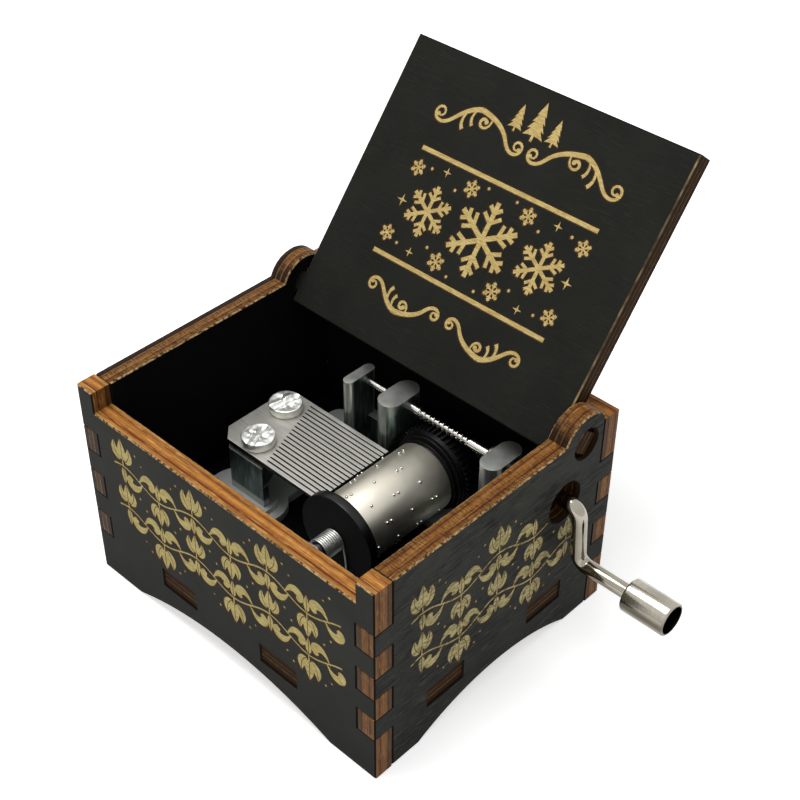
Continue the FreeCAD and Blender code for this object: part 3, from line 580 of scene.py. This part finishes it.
def snowflake(drawing, centre, radius):
    """Six arms with two pairs of twigs each."""
    half = 0.055 * radius + 0.07
    for i in range(6):
        arm = direction(60 * i + 30)
        drawing.line(centre, centre + arm * radius, half)
        for share, reach in ((0.45, 0.34), (0.72, 0.24)):
            for side in (1, -1):
                twig = direction(60 * i + 30 + 52 * side)
                drawing.line(centre + arm * radius * share,
                             centre + arm * radius * share + twig * radius * reach, half * 0.8)


def curved(start, heading, *parts):
    """Points of a curve made of parts, each a length and its turns as in trail."""
    path = [start]
    for length, turns in parts:
        more, heading = trail(path[-1], heading, length, turns, 20)
        path += more[1:]
    return path


def scroll(drawing, crest, across, up):
    """An arch that rolls up into a volute at each end, with fronds and a curl below it.

    across and up are its sizes, negative to mirror it."""
    arch_out = curved(Vector((0, 0)), -8, (5.2, (-70, -10)), (8.6, (40, 860)))
    arch_in = curved(Vector((0, 0)), 188, (6.6, (10, 80)), (8.2, (-30, -900)))
    curl = curved(arch_in[7], 262, (5.2, (60, 640)))
    fronds = [curved(arch_out[i], -52, (length, (-60, -110))) for i, length in ((3, 2.9), (9, 3.3))]
    for path, thin, thick in ((arch_out, 0.15, 0.44), (arch_in, 0.15, 0.44), (curl, 0.3, 0.15),
                              (fronds[0], 0.3, 0.14), (fronds[1], 0.34, 0.14)):
        last = len(path) - 1
        half = [thin + (thick - thin) * (1 - i / last) ** 0.8 for i in range(last + 1)]
        drawing.strip([crest + Vector((p.x * across, p.y * up)) for p in path], half, half)
    for end, radius in ((arch_out[-1], 0.34), (arch_in[-1], 0.34), (curl[-1], 0.4)):
        drawing.dot(crest + Vector((end.x * across, end.y * up)), radius)


def star(drawing, centre, radius):
    """A four-pointed star of slim rhombs."""
    for i in range(4):
        tip = direction(90 * i)
        side = direction(90 * i + 90)
        drawing.shape([centre + tip * radius, centre + side * radius * 0.2, centre - tip * radius * 0.2,
                       centre - side * radius * 0.2])


def lid_drawing(middle, pivot):
    """Fir trees and scrollwork above, scrollwork below, and snow between two rules.

    Heights count from the lid's pivot."""
    drawing = Drawing(Vector((0, pivot)))
    for side in (1, -1):
        scroll(drawing, Vector((middle + 10.4 * side, 38.2)), 1.06 * side, 1.06)
        scroll(drawing, Vector((middle + 9.0 * side, 3.2)), 0.88 * side, -0.88)
        pine(drawing, Vector((middle + 3.7 * side, 37.2)), 4.6)
        for across, up, radius in ((11.6, 19.9, 4.4), (5.8, 26.3, 1.5), (5.9, 13.4, 1.6), (17.0, 25.6, 1.4),
                                   (17.0, 14.0, 1.4)):
            snowflake(drawing, Vector((middle + across * side, up)), radius)
        for across, up, radius in ((11.4, 26.9, 0.9), (11.4, 12.8, 0.9), (17.1, 19.8, 1.1)):
            star(drawing, Vector((middle + across * side, up)), radius)
        for across, up in ((2.9, 27.5), (8.6, 24.9), (14.4, 26.4), (2.9, 12.1), (8.6, 14.8), (14.4, 13.2)):
            drawing.dot(Vector((middle + across * side, up)), 0.26)
    rule_reach, rule_half = 18, 0.36
    for height in (28.9, 10.6):
        drawing.line(Vector((middle - rule_reach, height)), Vector((middle + rule_reach, height)), rule_half)
    pine(drawing, Vector((middle, 36.8)), 6.6)
    snowflake(drawing, Vector((middle, 19.8)), 6.4)
    return drawing


def linked(name, data):
    """A new object in the scene."""
    made = bpy.data.objects.new(name, data)
    bpy.context.collection.objects.link(made)
    return made


def mesh_from(made, name, materials):
    """The mesh in metres, of what was made in millimetres."""
    bmesh.ops.scale(made, vec=(MM,) * 3, verts=made.verts)
    mesh = bpy.data.meshes.new(name)
    made.to_mesh(mesh)
    made.free()
    for material in materials:
        mesh.materials.append(material.material)
    return mesh


# Boards: each is rebuilt from its node's outline, with worn edges and its engraving

def outline_loops(node, across, up):
    """Closed loops in millimetres round a board's outer face, and that face's place in metres."""
    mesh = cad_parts[node].data
    out = across.cross(up)
    level = max(v.co.dot(out) for v in mesh.vertices)
    flat = {v.index: (round(v.co.dot(across) / MM, 4), round(v.co.dot(up) / MM, 4))
            for v in mesh.vertices if level - v.co.dot(out) < 1e-7}
    sides = set()
    for polygon in mesh.polygons:
        if all(i in flat for i in polygon.vertices):
            ring = [flat[i] for i in polygon.vertices]
            for side in zip(ring, ring[1:] + ring[:1]):
                if side[::-1] in sides:
                    sides.remove(side[::-1])
                else:
                    sides.add(side)
    return chained(sides), level


def chained(sides):
    """Closed loops of points from directed sides."""
    after = dict(sorted(sides))
    loops = []
    while after:
        start, here = after.popitem()
        loop = [start]
        while here != start:
            loop.append(here)
            here = after.pop(here)
        loops.append(loop)
    return loops


def inset(loop, distance):
    """The loop moved by distance to its left, which is into the wood."""
    points = [Vector(p) for p in loop]
    moved = []
    for before, here, after in zip(points[-1:] + points, points, points[1:] + points[:1]):
        first = (here - before).normalized()
        second = (after - here).normalized()
        left = Vector((-first.y - second.y, first.x + second.x))
        moved.append(here + left * (distance / max(1 + first.dot(second), 0.3)))
    return moved


def area(loop):
    return sum(a[0] * b[1] - a[1] * b[0] for a, b in zip(loop, loop[1:] + loop[:1])) / 2


def triangulated(loops, drawing):
    """Points and triangles of a face with its engraving. Each triangle says what it belongs to."""
    places, faces, kinds = [], [], []
    cells = [("wood" if area(loop) > 0 else "hole", loop if area(loop) > 0 else loop[::-1])
             for loop in loops]
    if drawing:
        cells += [("burnt", cell) for cell in drawing.burnt] + [("floor", cell) for cell in drawing.floor]
    for kind, cell in cells:
        kinds.append(kind)
        faces.append(list(range(len(places), len(places) + len(cell))))
        places += [Vector(p) for p in cell]
    points, _, triangles, _, _, within = geometry.delaunay_2d_cdt(places, [], faces, 0, 1e-5, True)
    kept = []
    for triangle, owners in zip(triangles, within):
        kind = {kinds[i] for i in owners}
        if "wood" in kind and "hole" not in kind:
            kept.append((triangle, "floor" if "floor" in kind else "burnt" if "burnt" in kind else "wood"))
    return points, kept


def resized(loop, scale, shift):
    """The loop made larger or smaller round its own middle, and moved."""
    middle = sum((Vector(p) for p in loop), Vector((0, 0))) / len(loop)
    return [tuple(middle + shift + (Vector(p) - middle) * scale) for p in loop]


def painted_face(made, loops, drawing):
    """The outer face, with the floor of the engraving a little deeper."""
    points, kept = triangulated(loops, drawing)
    deep = {i for triangle, kind in kept if kind == "floor" for i in triangle}
    verts = [made.verts.new((*p, PLY / 2 - (ENGRAVED_DEPTH if i in deep else 0)))
             for i, p in enumerate(points)]
    slots = {"wood": PAINTED, "floor": ENGRAVED, "burnt": RIM}
    for triangle, kind in kept:
        made.faces.new([verts[i] for i in triangle]).material_index = slots[kind]


def back_face(made, loops):
    points, kept = triangulated(loops, None)
    verts = [made.verts.new((*p, -PLY / 2)) for p in points]
    for triangle, _ in kept:
        made.faces.new([verts[i] for i in triangle[::-1]]).material_index = BACK


def cut_side(made, loop, free):
    """The cut edge along one loop, with a chamfer to each face."""
    half = PLY / 2
    in_hole = area(loop) < 0
    narrow = inset(loop, BOARD_CHAMFER)
    rings = [
        [(*p, half) for p in narrow], [(*p, half - BOARD_CHAMFER) for p in loop],
        [(*p, BOARD_CHAMFER - half) for p in loop], [(*p, -half) for p in narrow],
    ]
    outer, upper, lower, inner = [[made.verts.new(p) for p in ring] for ring in rings]
    for first, second in ((outer, upper), (upper, lower), (lower, inner)):
        for i in range(len(loop)):
            j = (i + 1) % len(loop)
            face = made.faces.new([first[j], first[i], second[i], second[j]])
            face.smooth = True
            if first is upper:
                # Edges in holes take the nearly black tab edge: their burn with painted shade in the hole.
                face.material_index = IN_HOLES if in_hole else CUT
                continue
            side = (Vector(loop[j]) - Vector(loop[i])).normalized()
            middle = (Vector(loop[i]) + Vector(loop[j])) / 2
            bare = not in_hole and free(middle, Vector((side.y, -side.x)))
            face.material_index = FREE if bare else BURNT


def board(node, body, across, up, materials, drawing=None, free=lambda point, out: False, hole_fit=None):
    """The node's board with chamfered edges, its engraving and the right finish on each face.

    free(point, out) says where the chamfers are worn to bare wood. hole_fit gives a place, and the
    scale and the shift of the hole near it."""
    loops, level = outline_loops(node, across, up)
    if hole_fit:
        near, scale, shift = hole_fit
        reach = 6
        loops = [resized(loop, scale, shift) if all((Vector(p) - near).length < reach for p in loop)
                 else loop for loop in loops]
    made = bmesh.new()
    narrow = [inset(loop, BOARD_CHAMFER) for loop in loops]
    painted_face(made, narrow, drawing)
    back_face(made, narrow)
    for loop in loops:
        cut_side(made, loop, free)
    bmesh.ops.remove_doubles(made, verts=made.verts, dist=2e-4)
    bmesh.ops.dissolve_degenerate(made, dist=1e-4, edges=made.edges)
    mesh = mesh_from(made, node + "_looks", materials)
    mesh.set_sharp_from_angle(angle=math.radians(28))
    piece = linked(node + "_looks", mesh)
    out = across.cross(up)
    turn = Matrix((across, up, out)).transposed().to_4x4()
    turn.translation = out * (level - PLY / 2 * MM)
    piece.matrix_world = turn
    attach(piece, body)
    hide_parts(node)


# Case and lid

wall_edge = cut_plywood("ply_edge_wall", 0.0, 0.55)
right_edge = cut_plywood("ply_edge_right", 0.0, 0.6, ears=0.42, ear_ticks=0.7)
left_edge = cut_plywood("ply_edge_left", 0.28, 0.84, 0.7, outer=0.62, ears=0.2, lines=0.45, ear_ticks=0.2)
back_edge = cut_plywood("ply_edge_back", 0.3, 0.55, 0.25)
# Nearly black all over: burn with painted shade, for the floor's edges in the slots and the edges in holes.
tab_edge = cut_plywood("ply_edge_tab", 0.94, 0.94, lines=0.22, gloss=0.02)
lid_edge = cut_plywood("ply_edge_lid", 0.92, 0.94, 0.2, lines=0.25, gloss=0.02)
front_paint = stained_paint("stain_smooth", "22231f", "2b2c27", 0.1, 0.25)
side_paint = stained_paint("stain_grained", "2a2b28", "383933", 1.0, 0.45)
lid_paint = stained_paint("stain_lid", "1e1f1b", "242521", 0.14, 0.25)
front_gold = engraved_wood("engraved_front", 0.45, "b8a868", "d2c58c", "8c7740")
side_gold = engraved_wood("engraved_side", 0.9, "b3a670", "d3cb9c", "4b4123")
lid_gold = engraved_wood("engraved_lid", 0.35, "c4ad6e", "d9c68d", "a08146")
burnt_rim = mottled_wood("scorched_rim", 0.35, 0.7, 0.2, (0.3, "22150c"), (0.55, "3e2614"), (0.8, "6b4a26"))
back_black = inner_black()
pale_line = mottled_wood("pale_edge_wall", 0.5, 0.6, 0.1, (0.4, "3a2817"), (0.54, "9c7f55"), (0.7, "bda078"))
lid_line = mottled_wood("pale_edge_lid", 3.5, 0.6, 0.1, (0.4, "42382a"), (0.54, "716248"), (0.7, "bda078"))
burnt_line = mottled_wood("burnt_edge", 0.4, 0.8, 0.08, (0.3, "060504"), (0.7, "140d08"))


def free_top(point, out):
    """The upper edges of a wall."""
    return out.y > 0.3 and point.y > WALL_TOP


def lid_side(point, out):
    """The left and right edges of the lid."""
    return abs(out.x) > 0.5


def crank_hole_clear(point, room):
    """Free of the crank's hole and of the finger joints behind it."""
    around_hole, joints = 3.6 + 0.4 * room, 47.5
    return (point - CRANK_HOLE).length > around_hole and point.x < joints - room / 2


def whole(point, room):
    """Free all over."""
    return True


def mirrored(field):
    return -field[1], -field[0]


def finishes(paint, edge, gold, back, free):
    """A board's materials, in the order of its slots."""
    return paint, edge, gold, burnt_rim, back, free, burnt_line, tab_edge


def wall(node, across, paint, edge, gold, drawing, hole_fit=None):
    materials = finishes(paint, edge, gold, back_black, pale_line)
    board(node, "root", across, Z, materials, drawing, free_top, hole_fit)


wall("front_wall", X, front_paint, wall_edge, front_gold, wall_drawing(*FRONT_FIELD, whole))
wall("right_wall", Y, side_paint, right_edge, side_gold, wall_drawing(*SIDE_FIELD, crank_hole_clear),
     (CRANK_HOLE, 0.86, Vector((0.2, 0.25))))
wall("back_wall", -X, front_paint, back_edge, front_gold, wall_drawing(*mirrored(FRONT_FIELD), whole))
wall("left_wall", -Y, side_paint, left_edge, side_gold, wall_drawing(*mirrored(SIDE_FIELD), whole))
board("floor_board", "root", X, Y, finishes(back_black, tab_edge, lid_gold, back_black, burnt_line))
lid_up = Vector((0, math.cos(LID_LEAN), math.sin(LID_LEAN)))
lid_ornament = lid_drawing(LID_DRAWING_MIDDLE, Vector((0, *LID_PIVOT)).dot(lid_up))
board("lid", "lid", X, lid_up, finishes(lid_paint, lid_edge, lid_gold, lid_paint, lid_line),
      lid_ornament, lid_side)


# Movement and crank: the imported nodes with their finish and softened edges

def finish(nodes, material, bevel=0.0):
    """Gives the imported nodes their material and, where it shows, a small round on their edges."""
    for name in nodes:
        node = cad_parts[name]
        for slot in node.material_slots:
            slot.material = material.material
        if bevel:
            weld = node.modifiers.new("weld", "WELD")
            weld.merge_threshold = 1e-6
            soften = node.modifiers.new("soften", "BEVEL")
            soften.width = bevel * MM
            soften.segments = 2
            soften.limit_method = "ANGLE"
            soften.angle_limit = math.radians(35)
            soften.harden_normals = False


# Smaller pieces of the movement, built again in more detail

def piece_from(made, name, node, body, material, angle):
    """Makes the mesh, in millimetres, a piece that stands for the node and rides on its body."""
    bmesh.ops.recalc_face_normals(made, faces=made.faces)
    mesh = mesh_from(made, name, [material])
    mesh.shade_smooth()
    mesh.set_sharp_from_angle(angle=math.radians(angle))
    piece = linked(name, mesh)
    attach(piece, body)
    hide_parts(node)


def skin(made, rings):
    """Joins rings of points, each as long as the next, into a tube with closed ends."""
    loops = [[made.verts.new(p) for p in ring] for ring in rings]
    for a, b in zip(loops, loops[1:]):
        for i in range(len(a)):
            j = (i + 1) % len(a)
            made.faces.new([a[i], a[j], b[j], b[i]])
    made.faces.new(loops[0][::-1])
    made.faces.new(loops[-1])


def angles(sides):
    return [2 * math.pi * k / sides for k in range(sides)]


def round_section(path, radius, sides):
    """Rings of a round wire along a path, without twist."""
    rings = []
    normal = None
    for i, point in enumerate(path):
        heading = (path[min(i + 1, len(path) - 1)] - path[max(i - 1, 0)]).normalized()
        if normal is None:
            normal = heading.orthogonal().normalized()
        normal = (normal - heading * normal.dot(heading)).normalized()
        side = heading.cross(normal)
        rings.append([point + radius * (normal * math.cos(t) + side * math.sin(t)) for t in angles(sides)])
    return rings


def turned_rings(axis_point, axis, across, profile, sides):
    """Rings of a turned piece. profile gives pairs of place along the axis and radius."""
    side = axis.cross(across)
    return [[axis_point + axis * along + radius * (across * math.cos(t) + side * math.sin(t))
             for t in angles(sides)] for along, radius in profile]


def screw_height(place, slot_heading, seed):
    """Height of a screw's battered top over its plane: facets, and a slot with torn lips."""
    facets = noise.noise(place * 0.7 + seed) * 0.22 + noise.noise(place * 1.7 + seed) * 0.07
    side = place.x * slot_heading.y - place.y * slot_heading.x
    along = place.x * slot_heading.x + place.y * slot_heading.y
    torn = 0.5 + 0.5 * noise.noise(place * 0.9 - seed)
    slot_depth = 0.5 / (1 + math.exp((abs(side) - 0.46) * 14)) * (0.6 + 0.4 * torn)
    cross_depth = 0.4 / (1 + math.exp((abs(along) - 0.35) * 12)) * torn if abs(side) < 1.7 else 0
    lip = 0.22 * math.exp(-((abs(side) - 0.7) / 0.2) ** 2) * torn
    return facets + lip - max(slot_depth, cross_depth)


def screw_head(made, centre, heading, seed):
    """A cheese-head screw with a battered top, and a tongue of metal pushed out of its slot."""
    radius, height, rings, sides = 2.88, 1.9, 22, 72
    hub, rim, sink = 0.02, 0.14, 0.28
    underside, shank_radius, shank_end = 0.02 - height, 1.4, -7.0
    slot_heading = direction(heading)
    loops = []
    for i in range(rings + 1):
        reach = hub + (radius - rim - hub) * i / rings
        fade = 1 - 0.75 * (i / rings) ** 6
        loop = []
        for k in range(sides):
            spoke = direction(360 * k / sides)
            place = Vector((*(spoke * reach), 0))
            turned = (360 * k / sides - heading + 180) % 360 - 180
            tongue = math.exp(-(turned / 13) ** 2) * max(0, i / rings - 0.6) * 2.5
            level = screw_height(place, slot_heading, seed) * fade - 0.3 * tongue
            out = spoke * (reach + 0.34 * tongue)
            loop.append(Vector((centre[0] + out.x, centre[1] + out.y, SCREW_TOP - sink + level)))
        loops.append(loop)
    for reach, level in ((radius - 0.03, -0.34), (radius, -0.48), (radius, 0.3 - height),
                         (radius - 0.12, underside), (shank_radius, underside), (shank_radius, shank_end)):
        loops.append([Vector((centre[0] + reach * math.cos(t), centre[1] + reach * math.sin(t),
                              SCREW_TOP + level)) for t in angles(sides)])
    skin(made, loops)


def comb_screws(material):
    made = bmesh.new()
    screw_head(made, (12.75, 31.25), -100, Vector((3.1, 0.4, 7.7)))
    screw_head(made, (15.7, 22.35), -70, Vector((9.2, 5.1, 1.3)))
    piece_from(made, "comb_screws_battered", "comb_screws", "root", material, 50)


def check_spring(material):
    """The wire: a leg up from the casting, a close coil round the sleeve, and a leg down again."""
    front, back, turns, reach, wire = 13.8, 17.22, 8.5, 1.82, 0.172
    steps, leg_steps, sides = 40, 12, 10
    foot, bow, lead = 12.3, 0.35, 0.3

    def leg(end, way, share):
        """A point of the leg to one end of the coil, from 0 at its foot to 1 at the coil."""
        return Vector((end.x + way * bow * math.sin(math.pi * share), end.y + way * lead * (1 - share ** 2),
                       foot + (CYLINDER_AXIS.z - foot) * share))

    coil = []
    for i in range(int(turns * steps) + 1):
        angle = 2 * math.pi * i / steps
        y = front + (back - front) * i / (turns * steps)
        coil.append(CYLINDER_AXIS + Vector((-reach * math.cos(angle), y, reach * math.sin(angle))))
    first_leg = [leg(coil[0], -1, i / leg_steps) for i in range(leg_steps)]
    last_leg = [leg(coil[-1], 1, 1 - i / leg_steps) for i in range(1, leg_steps + 1)]
    made = bmesh.new()
    skin(made, round_section(first_leg + coil + last_leg, wire, sides))
    piece_from(made, "check_spring_wound", "check_spring", "root", material, 60)


def worm_thread(made, axis_point, start, end):
    """The worm's sharp thread, which rises out of the shaft and runs out again."""
    pitch, steps, foot, crest = 1.0, 36, 0.4, 0.9
    section = ((-0.26, foot), (-0.035, crest), (0.035, crest), (0.26, foot))
    last = int((end - start) / pitch) * steps
    rings = []
    for i in range(1, last):
        angle = 2 * math.pi * i / steps
        out = Y * math.cos(angle) + Z * math.sin(angle)
        taper = min(1, i / steps * 2.5, (last - i) / steps * 2.5)
        along = start + pitch * i / steps
        rings.append([axis_point + X * (along + side * (0.3 + 0.7 * taper))
                      + out * (foot + (up - foot) * taper) for side, up in section])
    skin(made, rings)


def worm_shaft(material):
    """The steel shaft, with the worm between its two shoulders."""
    axis_point = Vector((0, *SHAFT_AXIS))
    shaft_start, thick_start, worm_start = 20.8, 31.2, 33.75
    worm_end, thick_end, shaft_end = 44.75, 48.5, 59.8
    tip, plain, thick, core, chamfer = 0.5, 0.65, 0.8, 0.46, 0.15
    profile = [
        (shaft_start, tip), (shaft_start + chamfer, plain),
        (thick_start, plain), (thick_start + 0.05, thick - 0.08), (thick_start + 0.13, thick),
        (worm_start + 0.1, thick), (worm_start + 0.25, core),
        (worm_end - 0.25, core), (worm_end - 0.1, thick),
        (thick_end - 0.13, thick), (thick_end - 0.05, thick - 0.08), (thick_end, plain),
        (shaft_end - chamfer, plain), (shaft_end, tip),
    ]
    made = bmesh.new()
    skin(made, turned_rings(axis_point, X, Y, profile, 28))
    worm_thread(made, axis_point, worm_start, worm_end)
    piece_from(made, "worm_shaft_cut", "worm_shaft", "crank", material, 30)


def cylinder_pins(material):
    """Round-headed pins at the places where the CAD has them."""
    teeth, comb_front, comb_width, pins_each = 18, 19.4, 16, 3
    turn_per_tooth, turn_per_pin = 97, 131
    profile = ((5.85, 0.23), (6.05, 0.25), (6.2, 0.25), (6.29, 0.2), (6.335, 0.11))
    made = bmesh.new()
    for tooth in range(teeth):
        y = comb_front + (tooth + 0.5) * comb_width / teeth
        for k in range(pins_each):
            angle = math.radians(turn_per_tooth * tooth + turn_per_pin * k)
            out = Vector((math.cos(angle), 0, math.sin(angle)))
            skin(made, turned_rings(CYLINDER_AXIS + Y * y, out, Y, profile, 10))
    piece_from(made, "cylinder_pins_round", "cylinder_pins", "cylinder", material, 60)


plated = plate("rough_plate", "e4e5e0", "f8f8f3", (0.4, 0.52), 1.2, (0.12, 5), 0.004)
bright = drawn_steel("bright_steel", "e4e2dc", 0.12)
spring_steel = drawn_steel("spring_steel", "f2f1ec", 0.34)
finish(["movement_frame"], cast_zinc(), 0.3)
finish(["comb"], ground_steel(), 0.04)
finish(["bracket_screw", "mounting_screws"], plated, 0.15)
finish(["comb_spacer"], marked_metal(
    "dark_strip", ("1d1a17", "34302b"), (0.45, 0.65), 0.006, 0.3, (1, 1, 1), detail=4, metallic=0.6), 0.06)
finish(["tuning_weights", "axle_bracket"], drawn_steel("plain_steel", "a9aaa8", 0.32), 0.05)
finish(["cylinder_barrel"], plate("nickel_barrel", "d0cbbd", "dad5c7", (0.43, 0.46)), 0.04)
finish(["cylinder_front_cap"], black_acetal("black_acetal_cap", 0.36), 0.05)
finish(["drive_gear"], black_acetal("black_acetal_gear", 0.25), 0.05)
# The crank arm gets a painted dark reflection on what faces down at rest.
finish(["crank_arm"], plate("nickel_crank", "979183", "aba597", (0.09, 0.12), below="45402f"), 0.06)
finish(["crank_knob"], knob_nickel(), 0.06)
finish(["cylinder_axle", "axle_washers", "knob_rivet"], bright)
finish(["shaft_bush"], drawn_steel("dull_brass", "6d6555", 0.35), 0.04)
comb_screws(plated)
check_spring(spring_steel)
worm_shaft(bright)
cylinder_pins(bright)


# Stage, light and camera

def background_rays(tree):
    """1 for rays that show the background: from the camera, from mirrors and through glass."""
    path = tree.nodes.new("ShaderNodeLightPath")
    shown = path.outputs["Is Camera Ray"]
    for ray in ("Is Glossy Ray", "Is Transmission Ray"):
        either = tree.nodes.new("ShaderNodeMath")
        either.operation = "MAXIMUM"
        tree.links.new(shown, either.inputs[0])
        tree.links.new(path.outputs[ray], either.inputs[1])
        shown = either.outputs[0]
    return shown


def studio():
    """White surroundings, a soft key from above left, a fill and a rim. Only the key shows in metal.

    Places and sizes are in metres."""
    scene = bpy.context.scene
    scene.view_settings.view_transform = "Standard"
    world = bpy.data.worlds.new("studio")
    scene.world = world
    world.use_nodes = True
    tree = world.node_tree
    lit = tree.nodes["Background"]
    white = tree.nodes.new("ShaderNodeBackground")
    for background, strength in ((lit, 0.4), (white, 1.0)):
        background.inputs["Color"].default_value = (1, 1, 1, 1)
        background.inputs["Strength"].default_value = strength
    choice = tree.nodes.new("ShaderNodeMixShader")
    tree.links.new(background_rays(tree), choice.inputs[0])
    tree.links.new(lit.outputs[0], choice.inputs[1])
    tree.links.new(white.outputs[0], choice.inputs[2])
    tree.links.new(choice.outputs[0], tree.nodes["World Output"].inputs["Surface"])
    middle = Vector((0.038, 0.032, 0.03))
    for name, place, size, power in (
        ("key", (-0.12, -0.06, 0.68), 0.4, 2.9),
        ("fill", (0.4, -0.5, 0.4), 0.4, 1.0),
        ("rim", (0.15, 0.45, 0.5), 0.3, 0.6),
    ):
        lamp = bpy.data.lights.new(name, "AREA")
        lamp.shape = "DISK"
        lamp.size = size
        lamp.energy = power
        holder = linked(name, lamp)
        holder.visible_glossy = name == "key"
        holder.location = place
        aim = middle - Vector(place)
        holder.rotation_euler = aim.to_track_quat("-Z", "Y").to_euler()


def floor():
    """A pale floor that stays white to the camera apart from the object's shadow."""
    reach = 0.55
    mesh = bpy.data.meshes.new("floor")
    mesh.from_pydata([(-reach, -reach, 0), (reach, -reach, 0), (reach, reach, 0), (-reach, reach, 0)],
                     [], [(0, 1, 2, 3)])
    pale = Surface("pale_floor", base_color=(0.9, 0.9, 0.9, 1), roughness=0.9, specular_ior_level=0.0,
                   emission_color=(0.5, 0.5, 0.5, 1))
    pale.paint(emission_strength=background_rays(pale.tree))
    mesh.materials.append(pale.material)
    piece = linked("floor", mesh)


def photo_camera():
    """The photograph's camera, found from the case's corners."""
    target = Vector((38.01, 32.28, 38.73)) * MM
    azimuth, elevation, roll = (math.radians(a) for a in (43.36, 39.49, 0.38))
    distance, focal_pixels, picture_pixels = 233.9 * MM, 1532.2, 800
    back = Vector((math.sin(azimuth) * math.cos(elevation),
                   -math.cos(azimuth) * math.cos(elevation), math.sin(elevation)))
    right = Vector((math.cos(azimuth), math.sin(azimuth), 0))
    up = back.cross(right)
    turned_right = right * math.cos(roll) + up * math.sin(roll)
    turned_up = up * math.cos(roll) - right * math.sin(roll)
    lens = bpy.data.cameras.new("camera")
    lens.sensor_width = 36.0
    lens.lens = focal_pixels * lens.sensor_width / picture_pixels
    lens.clip_start = 0.01
    lens.clip_end = 20
    camera = linked("camera", lens)
    place = Matrix((turned_right, turned_up, back)).transposed().to_4x4()
    place.translation = target + back * distance
    camera.matrix_world = place
    bpy.context.scene.camera = camera


studio()
floor()
photo_camera()
